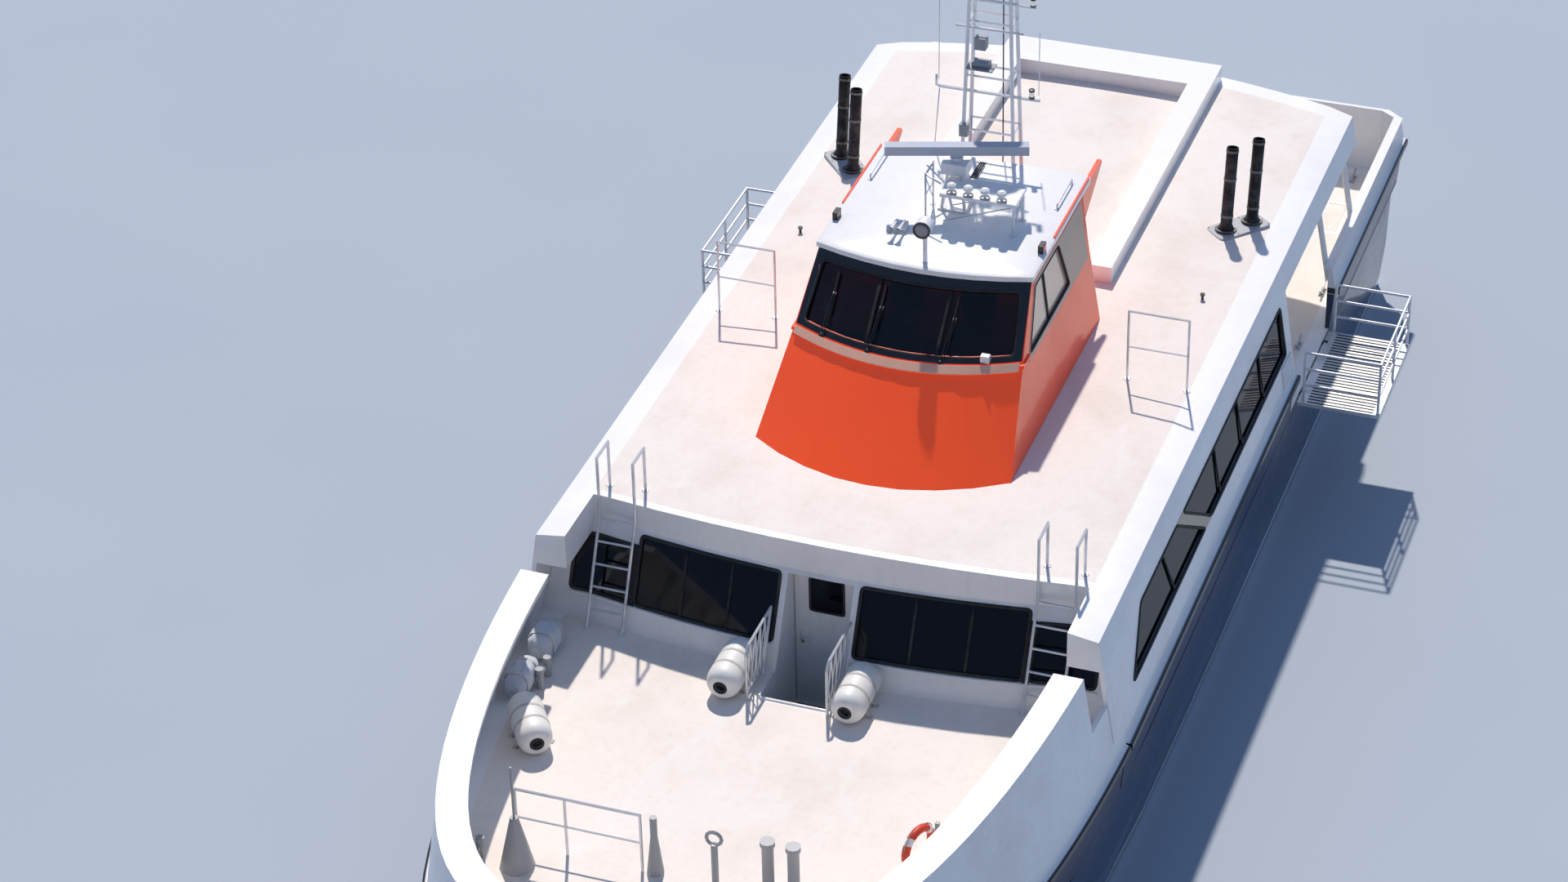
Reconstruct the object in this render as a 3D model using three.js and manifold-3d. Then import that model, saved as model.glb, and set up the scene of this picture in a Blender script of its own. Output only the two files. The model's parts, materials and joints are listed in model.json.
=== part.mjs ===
// A fast passenger ferry: an aluminium catamaran with one enclosed passenger deck, a wheelhouse on
// the cabin roof and a raised foredeck behind wide bulwarks.
// Millimetres. +X is forward, +Y is to port and +Z is up. The origin is amidships on the centreline
// at the waterline.
import * as THREE from "three";
import { mergeVertices } from "three/addons/utils/BufferGeometryUtils.js";
import Module from "manifold-3d";

const wasm = await Module();
wasm.setup();

// Driving dimensions
const fit = 0.3; // gap between two pieces that rest on each other
const plate = 60; // thickness of walls, bulwarks and doors with their framing
const sternX = -11850; // aft edge of the main deck
const transomX = -11200; // aft face of the two hulls, under the deck's overhang
const narrowX = 3650; // from here the plan narrows towards the bow
const bowX = 11850; // foremost point, at the rub rail
const bowPower = 0.29; // bluntness of the bow in plan
const hullTop = 1650;
const wetDeck = 1100; // underside of the structure between the hulls
const mainDeck = 1750;
const foreDeck = 2750;
const railZ = 2800; // top of the aft bulwarks and ramp rails
const roofZ = 4300; // roof at the inner edge of its side bands
const roofEdgeZ = 4240;
const roofUnder = 4060;
const fasciaZ = 3800; // lower edge of the roof's side fascia
const frontFasciaZ = 3960;
const sternFasciaZ = 3860;
const fasciaInner = 3690; // inner face of the side fascia
const roofHalf = 3700;
const bandInner = 3330; // inner edge of the roof's side bands
const wingX = 4730; // forward ends of the roof's side wings
const wingInner = 3300;
const cabinAftX = -4550;
const deckJoinX = 4340; // where the main deck meets the foredeck, at the sides
const doorX = 3870; // plane of the front door
const stairHalf = 440; // half width of the stairwell and of the recess for the front door
const stairY = -100; // their middle lies a little to starboard
const stairPort = stairY + stairHalf;
const stairStarboard = stairY - stairHalf;
const frontTopX = 3750; // front of the cabin under the roof, at the sides
const glassDepth = 28; // how far the glass lies behind a wall's face
const paneFront = glassDepth + fit;
const paneBack = paneFront + 12;

// Paints and materials, by colour, roughness and metalness
const finishes = {
  white: [0xf2f0ec, 0.45, 0],
  deckCream: [0xe9e2d8, 0.85, 0],
  navy: [0x16264a, 0.35, 0],
  orange: [0xf4511e, 0.4, 0],
  glass: [0x10182a, 0.08, 0],
  aluminium: [0xb9bec4, 0.4, 0.9],
  exhaustBlack: [0x1c1b1b, 0.6, 0.3],
  rubber: [0x202225, 0.85, 0],
  vinyl: [0xf0eee8, 0.5, 0],
  seatBlue: [0x24365c, 0.9, 0],
  ringRed: [0xd8442c, 0.55, 0],
  engineGrey: [0x6d7478, 0.6, 0.5],
};

const boat = new THREE.Group();

// A closed geometry as a solid whose faces point out
function solidOf(geometry) {
  geometry.deleteAttribute("normal");
  geometry.deleteAttribute("uv");
  const merged = mergeVertices(geometry, 1e-3);
  const vertProperties = merged.attributes.position.array;
  const triVerts = new Uint32Array(merged.index.array);
  const made = new wasm.Manifold(new wasm.Mesh({ numProp: 3, vertProperties, triVerts }));
  if (made.volume() > 0) return made;
  return new wasm.Manifold(new wasm.Mesh({ numProp: 3, vertProperties, triVerts: triVerts.reverse() }));
}

// A solid as a geometry, mirrored to starboard when side is -1
function geometryOf(solid, side = 1) {
  const mesh = solid.getMesh();
  const position = new Float32Array(mesh.numVert * 3);
  for (let i = 0; i < mesh.numVert; i++) {
    position.set(mesh.vertProperties.subarray(i * mesh.numProp, i * mesh.numProp + 3), i * 3);
    position[i * 3 + 1] *= side;
  }
  const index = side > 0 ? mesh.triVerts : mesh.triVerts.slice().reverse();
  const geometry = new THREE.BufferGeometry();
  geometry.setAttribute("position", new THREE.BufferAttribute(position, 3));
  geometry.setIndex(new THREE.BufferAttribute(index, 1));
  return geometry;
}

function add(name, solid, finish, side = 1) {
  const [color, roughness, metalness] = finishes[finish];
  const material = new THREE.MeshStandardMaterial({ color, roughness, metalness, flatShading: true });
  const mesh = new THREE.Mesh(geometryOf(solid, side), material);
  mesh.name = name;
  boat.add(mesh);
}

const join = (...solids) => solids.flat().reduce((a, b) => a.add(b));
const sides = [["port", 1], ["starboard", -1]];

function box(x0, x1, y0, y1, z0, z1) {
  const geometry = new THREE.BoxGeometry(x1 - x0, y1 - y0, z1 - z0);
  geometry.translate((x0 + x1) / 2, (y0 + y1) / 2, (z0 + z1) / 2);
  return solidOf(geometry);
}

// An outline of (u, v) pairs carried from one place to another along x, y or z.
// The pairs are (y, z) along x, (x, z) along y and (x, y) along z.
function prism(outline, along, from, to) {
  const shape = new THREE.Shape(outline.map(([u, v]) => new THREE.Vector2(u, v)));
  const geometry = new THREE.ExtrudeGeometry(shape, { depth: to - from, bevelEnabled: false });
  geometry.translate(0, 0, from);
  const axis = [new THREE.Vector3(1, 0, 0), new THREE.Vector3(0, 1, 0), new THREE.Vector3(0, 0, 1)];
  const order = { x: [1, 2, 0], y: [0, 2, 1], z: [0, 1, 2] }[along];
  geometry.applyMatrix4(new THREE.Matrix4().makeBasis(...order.map((k) => axis[k])));
  return solidOf(geometry);
}

// A skin over rings of points, closed by a fan at each end
function loft(rings) {
  const count = rings[0].length;
  const middle = (ring) => [0, 1, 2].map((k) => ring.reduce((sum, p) => sum + p[k], 0) / count);
  const points = [...rings.flat(), middle(rings[0]), middle(rings.at(-1))];
  const foot = rings.length * count;
  const index = [];
  for (let k = 0; k < count; k++) {
    const next = (k + 1) % count;
    for (let r = 0; r + 1 < rings.length; r++) {
      const [a, b, c, d] = [r * count + k, r * count + next, (r + 1) * count + k, (r + 1) * count + next];
      index.push(a, b, d, a, d, c);
    }
    index.push(foot, next, k, foot + 1, foot - count + k, foot - count + next);
  }
  const geometry = new THREE.BufferGeometry();
  geometry.setAttribute("position", new THREE.Float32BufferAttribute(points.flat(), 3));
  geometry.setIndex(index);
  return solidOf(geometry);
}

const upright = new THREE.Vector3(0, 1, 0);
const turnTo = (axis) => new THREE.Quaternion().setFromUnitVectors(upright, axis.normalize());

// A round bar between two points
function bar(from, to, radius, segments = 8) {
  const a = new THREE.Vector3(...from);
  const b = new THREE.Vector3(...to);
  const geometry = new THREE.CylinderGeometry(radius, radius, a.distanceTo(b), segments);
  geometry.applyQuaternion(turnTo(b.clone().sub(a)));
  geometry.translate(...a.add(b).multiplyScalar(0.5).toArray());
  return solidOf(geometry);
}

// A tube that follows a bent line lying in one plane, mitred at its corners
function pipe(points, radius, segments = 8) {
  const path = points.map((p) => new THREE.Vector3(...p));
  const steps = path.slice(1).map((p, i) => p.clone().sub(path[i]).normalize());
  const bend = steps.slice(1).map((d, i) => new THREE.Vector3().crossVectors(steps[i], d));
  const across = bend.find((v) => v.length() > 1e-3).normalize();
  const rings = path.map((p, i) => {
    const into = steps[Math.max(i - 1, 0)];
    const out = steps[Math.min(i, steps.length - 1)];
    const along = into.clone().add(out).normalize();
    const side = new THREE.Vector3().crossVectors(across, along).divideScalar(along.dot(out));
    return Array.from({ length: segments }, (_, k) => {
      const turn = (2 * Math.PI * (k + 0.5)) / segments;
      const place = across.clone().multiplyScalar(radius * Math.cos(turn));
      return place.addScaledVector(side, radius * Math.sin(turn)).add(p).toArray();
    });
  });
  return loft(rings);
}

// A profile of (radius, height) pairs turned about an axis through a point
function turned(profile, centre, axis, segments = 16) {
  const geometry = new THREE.LatheGeometry(profile.map(([r, h]) => new THREE.Vector2(r, h)), segments);
  geometry.applyQuaternion(turnTo(new THREE.Vector3(...axis)));
  geometry.translate(...centre);
  return solidOf(geometry);
}

const disc = (centre, axis, radius, length, segments = 16) =>
  turned([[0, 0], [radius, 0], [radius, length], [0, length]], centre, axis, segments);

// Half breadth of the plan at x, for an outline of this half breadth that closes at this bow
function planHalf(x, half, bow = bowX) {
  const t = Math.min(Math.max((x - narrowX) / (bow - narrowX), 0), 1);
  return half * (1 - t * t) ** bowPower;
}

// Port edge of the plan from x = from to the bow, as (x, y) pairs
function bowEdge(from, half, bow, steps = 24) {
  const start = Math.asin((from - narrowX) / (bow - narrowX));
  return Array.from({ length: steps + 1 }, (_, i) => {
    const turn = start + ((Math.PI / 2 - start) * i) / steps;
    const y = i === steps ? 0 : half * Math.cos(turn) ** (2 * bowPower);
    return [narrowX + (bow - narrowX) * Math.sin(turn), y];
  });
}

// The front of the cabin and of the roof bows forward in plan
const frontBow = 310;
const bowed = (y) => frontBow * (1 - (Math.min(Math.abs(y), 3200) / 3200) ** 2);
const bowStations = [-3200, -2400, -1600, -800, 0, 800, 1600, 2400, 3200];

// Topsides, columns: height, half breadth, foremost point
const topside = [
  [hullTop + fit, 3930, 11500],
  [2340, 3985, 11780],
  [2360, 4060, bowX],
  [2440, 4060, bowX],
  [2460, 3990, 11790],
  [foreDeck, 3943, 11760],
];
const sideY = (z) => 3990 - (z - 2460) * 0.163; // outer face of the side above the rub rail

// A hinge is a pin along z that belongs to the leaf, held in two bored sockets of the frame.
// The boxes arm (to the frame) and leaf (to the leaf) are x from, x to, y from and y to, from the pin.
const pinRadius = 12;
const boreRadius = 12.9;
const doorZ = [2000, 3600]; // heights of the sockets
const frontHinge = { x: doorX - 62, y: stairPort - 22, z: doorZ, arm: [-12, 12, 16, 34], leaf: [0, 40, -12, 8] };
const aftHinge = { x: cabinAftX - 100, y: 430, z: doorZ, arm: [-10, 50, 16, 50], leaf: [0, 50, -30, 0] };
const wheelHinge = { x: -2225, y: 1262, z: [4700, 5900], arm: [-10, 50, 16, 50], leaf: [0, 50, -30, 0] };
const gateHinge = { x: 11585, y: -632, z: [2950, 3500], arm: [-10, 115, -60, -16], leaf: [0, 30, 0, 30] };

function doorSockets({ x, y, z, arm }) {
  const sockets = z.map((height) => join(
    bar([x, y, height - 40], [x, y, height + 40], 24, 12),
    box(x + arm[0], x + arm[1], y + arm[2], y + arm[3], height - 40, height + 40)));
  return join(...sockets).subtract(bar([x, y, z[0] - 60], [x, y, z[1] + 60], boreRadius, 12));
}

function doorPin({ x, y, z, leaf }) {
  const pin = bar([x, y, z[0] - 40], [x, y, z[1] + 40], pinRadius, 12);
  const straps = [z[0] + 90, z[1] - 90].map((height) =>
    box(x + leaf[0], x + leaf[1], y + leaf[2], y + leaf[3], height - 30, height + 30));
  return join(pin, ...straps);
}

// Hulls: each section runs from the deck edge over the chine to the keel
const hullCentre = 2950;
const engineBay = [-10600, -6600, 2350, 3550];
const jetZ = -80;
const stem = (z) => 9900 + 0.34 * z;

function hullSection(s, grow) {
  const deckX = transomX + s * (stem(hullTop) - transomX);
  const t = Math.max((deckX - narrowX) / (bowX - narrowX), 0);
  const u = Math.max(deckX / stem(hullTop), 0);
  const aft = Math.max((-4000 - deckX) / 7200, 0);
  const centre = hullCentre - 430 * t * t;
  const deckHalf = Math.max(planHalf(deckX, 3930) - centre, 25) + grow;
  const chineHalf = deckHalf * (0.86 - 0.5 * u ** 2.5);
  const chineZ = -350 + 650 * u ** 3;
  const keelZ = -1150 + 300 * aft * aft + 150 * Math.max((u - 0.8) / 0.2, 0) ** 2;
  const half = [
    [deckHalf, hullTop],
    [deckHalf * 0.97 - 40 * u, 750],
    [chineHalf, chineZ],
    [chineHalf * 0.55, chineZ * 0.45 + keelZ * 0.55],
    [20 + grow, keelZ],
  ];
  const ring = [...half, ...half.map(([y, z]) => [-y, z]).reverse()];
  return ring.map(([y, z]) => [transomX + s * (stem(z) - transomX), centre + y, z]);
}

const hullStations = [0, 0.2, 0.4, 0.55, 0.66, 0.74, 0.81, 0.87, 0.92, 0.96, 1];
const hullShape = (grow = 0) => loft(hullStations.map((s) => hullSection(s, grow)));

function makeHulls() {
  const duct = disc([transomX - 20, hullCentre, jetZ], [1, 0, 0], 170, 520);
  const ring = disc([transomX - 15, hullCentre, jetZ], [1, 0, 0], 300, 16);
  const arms = [245, -275].map((z) =>
    box(transomX - 260, transomX + 1, hullCentre - 60, hullCentre + 60, jetZ + z, jetZ + z + 30));
  const bay = box(engineBay[0], engineBay[1], engineBay[2], engineBay[3], -250, hullTop + 1);
  const hull = join(hullShape(), ring, ...arms).subtract(duct).subtract(bay);
  for (const [name, side] of sides) add("hull_" + name, hull, "navy", side);
  const bed = box(-9500, -6900, 2500, 3400, -250 + fit, -150);
  const block = box(-9400, -7000, 2450, 3450, -151, 1150);
  for (const [name, side] of sides) add("engine_" + name, join(bed, block), "engineGrey", side);
}

// Steering nozzle that turns about a vertical pin, and the reversing bucket that swings on its sides
const nozzlePinX = transomX - 200;
const bucketPinX = transomX - 320;

function makeJets() {
  const profile = [[195, 130], [230, 130], [200, 440], [155, 440]];
  const tube = turned([...profile, profile[0]], [transomX, hullCentre, jetZ], [-1, 0, 0]);
  const pins = [1, -1].map((k) =>
    bar([nozzlePinX, hullCentre, jetZ + k * 200], [nozzlePinX, hullCentre, jetZ + k * (245 - fit)], 35, 12));
  const studs = [1, -1].map((k) =>
    bar([bucketPinX, hullCentre + k * 185, jetZ], [bucketPinX, hullCentre + k * (238 - fit), jetZ], 45, 12));
  const nozzle = join(tube, ...pins, ...studs);
  const arc = (radius, from, to, count) => Array.from({ length: count + 1 }, (_, i) => {
    const turn = THREE.MathUtils.degToRad(from + ((to - from) * i) / count);
    return [bucketPinX - radius * Math.cos(turn), jetZ + radius * Math.sin(turn)];
  });
  const plateLine = [...arc(335, 18, 78, 5), ...arc(310, 78, 18, 5)];
  const shell = prism(plateLine, "y", hullCentre - 258, hullCentre + 258);
  const cheek = [...arc(334, 18, 78, 5), ...arc(50, 110, 320, 4)];
  const cheeks = [[238, 258], [-258, -238]].map(([from, to]) =>
    prism(cheek, "y", hullCentre + from, hullCentre + to));
  const bucket = join(shell, ...cheeks);
  for (const [name, side] of sides) {
    add("jet_nozzle_" + name, nozzle, "aluminium", side);
    add("reverse_bucket_" + name, bucket, "aluminium", side);
  }
}

// Structure between the hulls, and the main deck on top of both
function makeDecks() {
  const span = [[transomX, wetDeck], [7800, wetDeck], [9300, 1560], [9300, hullTop], [transomX, hullTop]];
  let bridge = prism(span, "y", -2500, 2500);
  for (const side of [1, -1]) bridge = bridge.subtract(solidOf(geometryOf(hullShape(fit), side)));
  const parts = bridge.decompose().sort((a, b) => b.volume() - a.volume());
  add("bridge_structure", parts[0], "navy");

  const edge = [[sternX + 250, 3930], [deckJoinX - fit, 3920]];
  const front = bowStations.map((y) => [deckJoinX - fit + bowed(y), -y]);
  const port = [[sternX, 3680], ...edge];
  const outline = [...port, ...front, ...mirrorOutline(port)];
  let deck = prism(outline, "z", hullTop + fit, mainDeck);
  for (const side of [1, -1]) {
    const [y0, y1] = side > 0 ? [hatch.inner, hatch.outer] : [-hatch.outer, -hatch.inner];
    deck = deck.subtract(box(hatch.aft, hatch.fore, y0, y1, hullTop + 50, mainDeck + 1));
    deck = deck.subtract(box(hatch.aft + 30, hatch.fore - 30, y0 + 30, y1 - 30, hullTop, mainDeck));
    deck = deck.add(oneSide(rampLugs(), side));
  }
  add("main_deck", deck, "deckCream");
}

const mirrorOutline = (outline) => outline.map(([x, y]) => [x, -y]).reverse();
const oneSide = (solid, side) => (side > 0 ? solid : solidOf(geometryOf(solid, -1)));

// Engine hatches let into the open aft deck, hinged at their forward edges
const hatch = { aft: -10500, fore: -9650, inner: 2500, outer: 3400 };

function makeHatches() {
  const gap = 5;
  const lid = box(hatch.aft + gap, hatch.fore - gap, hatch.inner + gap, hatch.outer - gap,
    hullTop + 50 + fit, mainDeck);
  for (const [name, side] of sides) add("engine_hatch_" + name, lid, "deckCream", side);
}

// Boarding ramps that hinge on the deck edge, with a rail on three sides
const ramp = { aft: -6890, fore: -4910, pinY: 3975, pinZ: 1720, outer: 5150, railZ: 2580 };
const rampLugX = [-6600, -5200];

function rampLugs() {
  const lugs = rampLugX.map((x) => join(
    box(x - 30, x + 30, 3920, ramp.pinY, ramp.pinZ - 20, ramp.pinZ + 20),
    bar([x - 30, ramp.pinY, ramp.pinZ], [x + 30, ramp.pinY, ramp.pinZ], 24, 12)));
  const bore = bar([ramp.aft, ramp.pinY, ramp.pinZ], [ramp.fore, ramp.pinY, ramp.pinZ], boreRadius, 12);
  return join(...lugs).subtract(bore);
}

function makeRamps() {
  let tread = box(ramp.aft, ramp.fore, ramp.pinY - 20, ramp.outer, ramp.pinZ - 30, ramp.pinZ + 30);
  for (const x of rampLugX) {
    const slot = box(x - 36, x + 36, ramp.pinY - 30, ramp.pinY + 34, ramp.pinZ - 40, ramp.pinZ + 40);
    tread = tread.subtract(slot);
  }
  const pin = bar([ramp.aft, ramp.pinY, ramp.pinZ], [ramp.fore, ramp.pinY, ramp.pinZ], pinRadius, 12);
  const inner = ramp.pinY + 60;
  const outer = ramp.outer - 30;
  const ends = [ramp.aft + 30, ramp.fore - 30];
  const rails = [];
  for (const z of [ramp.railZ, ramp.railZ - 270, ramp.railZ - 540]) {
    const line = [[ends[0], inner], [ends[0], outer], [ends[1], outer], [ends[1], inner]];
    rails.push(pipe(line.map(([x, y]) => [x, y, z]), 20, 6));
  }
  for (const x of [ends[0], (ends[0] + ends[1]) / 2, ends[1]]) {
    rails.push(bar([x, outer, ramp.pinZ], [x, outer, ramp.railZ], 22, 6));
  }
  for (const x of ends) rails.push(bar([x, inner, ramp.pinZ], [x, inner, ramp.railZ], 22, 6));
  const whole = join(tread, pin, ...rails);
  for (const [name, side] of sides) add("boarding_ramp_" + name, whole, "aluminium", side);
}

// Foredeck: a decked block between the topsides, with a stairwell down to the front door
const stairs = [[4000, 4660, mainDeck], [4659, 4840, 2000], [4839, 5020, 2250], [5019, 5200, 2500]];
const bittX = [5750, 9300];
const onDeck = foreDeck - 1; // what stands on the foredeck starts just inside it

// Gear fixed to the foredeck: a staff in a conical foot, a flared post, a post with an eye on top,
// two bollards, and the post that the life ring leans on
function deckGear() {
  const up = [0, 0, 1];
  const staff = join(
    turned([[0, 0], [220, 0], [50, 750], [0, 750]], [9200, -2170, onDeck], up, 12),
    disc([9200, -2170, onDeck + 700], up, 16, 800, 6));
  const flared = turned([[0, 0], [110, 0], [45, 560], [45, 850], [0, 850]], [8800, -560, onDeck], up, 10);
  const eye = new THREE.TorusGeometry(95, 24, 6, 12);
  eye.rotateY(Math.PI / 2);
  eye.translate(8800, 200, foreDeck + 720);
  const eyePost = join(disc([8800, 200, onDeck], up, 45, 640, 8), solidOf(eye));
  const bollards = [800, 1120].map((y) =>
    turned([[0, 0], [110, 0], [75, 60], [75, 600], [95, 640], [95, 700], [0, 700]], [8620, y, onDeck], up, 10));
  const rest = lifeRing().rest;
  return join(staff, flared, eyePost, ...bollards,
    box(lifeRingX - 25, lifeRingX + 25, rest, rest + 50, onDeck, foreDeck + 720));
}

// The life ring stands on the deck and leans outboard against its post
const lifeRingX = 7700;

function lifeRing() {
  const shape = new THREE.TorusGeometry(290, 60, 6, 14);
  shape.rotateX((73 * Math.PI) / 180);
  shape.computeBoundingBox();
  shape.translate(lifeRingX, 2430, foreDeck + fit - shape.boundingBox.min.z);
  shape.computeBoundingBox();
  return { shape, rest: shape.boundingBox.max.y + fit };
}

function makeForedeck() {
  const rings = topside.map(([z, half, bow]) => {
    const edge = bowEdge(deckJoinX, half, bow);
    const back = bowStations.map((y) => [deckJoinX + bowed(y), y]);
    return [...edge, ...mirrorOutline(edge.slice(0, -1)), ...back].map(([x, y]) => [x, y, z]);
  });
  const well = stairs.map(([x0, x1, z]) => box(x0, x1, stairStarboard, stairPort, z, foreDeck + 1));
  const bitts = [1, -1].flatMap((side) => bittX.map((x) => {
    const y = side * (planHalf(x, 3943) - 620);
    return join(
      disc([x - 130, y, onDeck], [0, 0, 1], 55, 300, 8),
      disc([x + 130, y, onDeck], [0, 0, 1], 55, 300, 8),
      bar([x - 210, y, foreDeck + 190], [x + 210, y, foreDeck + 190], 28, 6));
  }));
  const bow = loft(rings).subtract(join(...well));
  add("foredeck", join(bow, ...bitts, deckGear()), "white");
}

// Bulwarks round the foredeck, with a wide flat cap, open in the middle for the bow gate
const capZ = 4100;
const capWide = 380;
const gateHalf = 650;
const lowBulwark = { x: 5300, z: 3300 };

function makeBulwarks() {
  const outline = (z, half, bow) => {
    const edge = bowEdge(4400, half, bow);
    return [...edge, ...mirrorOutline(edge.slice(0, -1))].map(([x, y]) => [x, y, z]);
  };
  const lean = (capZ - foreDeck) * 0.163;
  const wall = (inset, z0, z1) => loft([
    outline(z0, 3943 - inset, 11760 - inset),
    outline(z1, 3943 - inset - lean, 11760 - inset - lean / 2)]);
  const face = wall(0, foreDeck + fit, capZ);
  const capUnder = capZ - 80;
  const cap = loft([outline(capUnder, 3730 - capWide, 11650 - capWide),
    outline(capZ + 1, 3723 - capWide, 11640 - capWide)]);
  const hollow = join(wall(plate, foreDeck - 1, capUnder), cap);
  const port = box(wingX + fit, 13000, gateHalf, 5000, 0, 5000)
    .subtract(box(0, lowBulwark.x, 0, 5000, lowBulwark.z, 5000));
  const bulwark = face.subtract(hollow).intersect(port);
  add("bulwark_port", bulwark, "white");
  add("bulwark_starboard", join(oneSide(bulwark, -1), doorSockets(gateHinge)), "white");
}

// Cabin side: a leaning wall over the topside, with one long window and a raked one ahead of it
const sideWindows = [
  [[-4200, 2980], [-70, 2980], [1030, 3730], [-4200, 3730]],
  [[230, 2980], [3730, 2980], [3080, 3730], [1330, 3730]],
];
const sideBand = [[-4230, 2950], [3800, 2950], [3100, 3760], [-4230, 3760]];
const sideLayer = (from, to, x0, x1, tops = [fasciaZ - fit]) => {
  const face = [[3938, mainDeck + fit], [3985, 2400], ...tops.map((z) => [sideY(z), z])];
  const at = (inset) => face.map(([y, z]) => [y - inset, z]);
  return prism([...at(from), ...at(to).reverse()], "x", x0, x1);
};
// The wall goes on up to the roof along the room
const roomFore = frontTopX - 80;
const rubRail = (x0, x1) => prism([[3970, 2340], [4060, 2360], [4060, 2440], [3970, 2460]], "x", x0, x1);
const through = (outline) => prism(outline, "y", 3000, 4500);

function makeCabinSides() {
  const tall = sideLayer(0, plate, cabinAftX, roomFore - fit, [fasciaZ - fit, roofUnder - fit]);
  const wall = join(sideLayer(0, plate, cabinAftX, wingX), tall, rubRail(cabinAftX, 4300))
    .subtract(box(deckJoinX - fit, 5000, 3000, 4500, 0, foreDeck + fit))
    .subtract(sideLayer(glassDepth, plate + 5, -4300, 3900).intersect(through(sideBand)))
    .subtract(join(...sideWindows.map(through)));
  const shrink = sideBand.map(([x, z]) => [x + (x < 0 ? fit : -fit * 2), z + (z < 3000 ? fit : -fit)]);
  const glass = sideLayer(paneFront, paneBack, -4300, 3900).intersect(through(shrink));
  for (const [name, side] of sides) {
    add("cabin_side_" + name, wall, "white", side);
    add("side_glass_" + name, glass, "glass", side);
  }
}

// The room between the cabin's sides, as a section for cutting cross walls to
const roomSection = () => {
  const wallTop = sideY(fasciaZ) - plate - fit;
  const half = [[3870, mainDeck + fit], [3920, 2400], [wallTop, fasciaZ - fit],
    [fasciaInner - fit, fasciaZ], [fasciaInner - fit, roofUnder - fit]];
  return prism([...half, ...half.map(([y, z]) => [-y, z]).reverse()], "x", -6000, 5000);
};

// Cabin front: raked windows either side of a recess for the door
const frontRake = (deckJoinX - frontTopX) / (frontFasciaZ - foreDeck);
const frontX = (z) => frontTopX + (frontFasciaZ - Math.max(z, foreDeck)) * frontRake;
const frontInner = { 1: stairPort + 100, [-1]: -stairStarboard + 100 }; // by side, from the centreline
const frontWindows = (inner) => [
  [[inner, 3080], [2600, 3080], [2600, 3900], [inner, 3900]],
  [[2690, 3080], [3520, 3080], [3520, 3760], [2690, 3760]],
];
const frontPane = (inner, less) => [[inner - 30 + less, 3050 + less], [3550 - less, 3050 + less],
  [3550 - less, 3790 - less], [2620 - less, 3790 - less], [2620 - less, 3930 - less],
  [inner - 30 + less, 3930 - less]];
const frontCut = (outline) => prism(outline, "x", 3000, 5000);

function frontLayer(from, to) {
  const section = [[-from, mainDeck], [-from, foreDeck], [-from, frontFasciaZ - fit],
    [-to, frontFasciaZ - fit], [-to, foreDeck], [-to, mainDeck]];
  return loft([-3900, ...bowStations, 3900].map((y) =>
    section.map(([x, z]) => [frontX(z) - fit + x + bowed(y), y, z])));
}

function makeCabinFront() {
  const halves = [1, -1].map((k) => [k, frontInner[k]]);
  const panes = halves.map(([k, inner]) => oneSide(frontCut(frontPane(inner, 0)), k));
  const windows = halves.flatMap(([k, inner]) => frontWindows(inner).map((w) => oneSide(frontCut(w), k)));
  const wing = box(3600, 5000, wingInner - fit, 4000, fasciaZ - fit, 5000);
  const wings = [1, -1].map((k) => oneSide(wing, k));
  const cheekLine = [[3790, mainDeck], [4620, mainDeck], [4620, foreDeck], [4015, frontFasciaZ - fit],
    [3790, frontFasciaZ - fit]];
  const cheeks = [[stairPort, stairPort + plate], [stairStarboard - plate, stairStarboard]].map(([y0, y1]) =>
    prism(cheekLine, "y", y0, y1));
  const [from, to] = [stairStarboard - 10, stairPort + 10];
  const header = box(doorX - 40, doorX + 40, from, to, 3880, frontFasciaZ - fit);
  const lintel = prism([[3800, 3900], [4060, 3900], [4035, frontFasciaZ - fit], [3800, frontFasciaZ - fit]],
    "y", from, to);
  const wall = frontLayer(0, 70)
    .subtract(join(...panes).intersect(frontLayer(glassDepth, 80)))
    .subtract(join(...windows))
    .subtract(box(3000, 5000, stairStarboard, stairPort, mainDeck - 1, 3900));
  const sockets = doorSockets(frontHinge);
  const front = join(wall, ...cheeks, header, lintel, sockets).intersect(roomSection())
    .subtract(join(...wings));
  add("cabin_front", front, "white");
  for (const [name, side] of sides) {
    const glass = frontCut(frontPane(frontInner[side], 1)).intersect(frontLayer(paneFront, paneBack));
    add("front_glass_" + name, glass, "glass", side);
  }
}

function makeDoors() {
  const frontLeaf = box(doorX - 30, doorX + 10, stairStarboard + 8, stairPort - 8, mainDeck + 10, 3872)
    .subtract(box(doorX - 90, doorX + 90, stairY - 240, stairY + 240, 3220, 3760));
  add("front_door", join(frontLeaf, doorPin(frontHinge)), "white");
  const aftLeaf = box(cabinAftX - 60, cabinAftX - 20, -440, 440, mainDeck + 10, 3772)
    .subtract(box(cabinAftX - 200, cabinAftX, -250, 250, 2900, 3600));
  add("aft_door", join(aftLeaf, doorPin(aftHinge)), "white");
}

// Aft bulkhead with the door in the middle and an exhaust casing at each side
const casing = { aft: -5650, inner: 2400, outer: 3080 };

function makeCabinAft() {
  const wall = box(cabinAftX - plate, cabinAftX, -4000, 4000, mainDeck, roofUnder)
    .subtract(box(cabinAftX - 100, cabinAftX + 1, -450, 450, mainDeck - 1, 3780))
    .subtract(box(cabinAftX - 100, cabinAftX + 1, 900, 2200, 2700, 3600))
    .subtract(box(cabinAftX - 100, cabinAftX + 1, -2200, -900, 2700, 3600));
  const casings = [1, -1].map((k) =>
    oneSide(box(casing.aft, cabinAftX - 10, casing.inner, casing.outer, mainDeck, roofUnder), k));
  add("cabin_aft", join(wall, ...casings, doorSockets(aftHinge)).intersect(roomSection()), "white");
}

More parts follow.
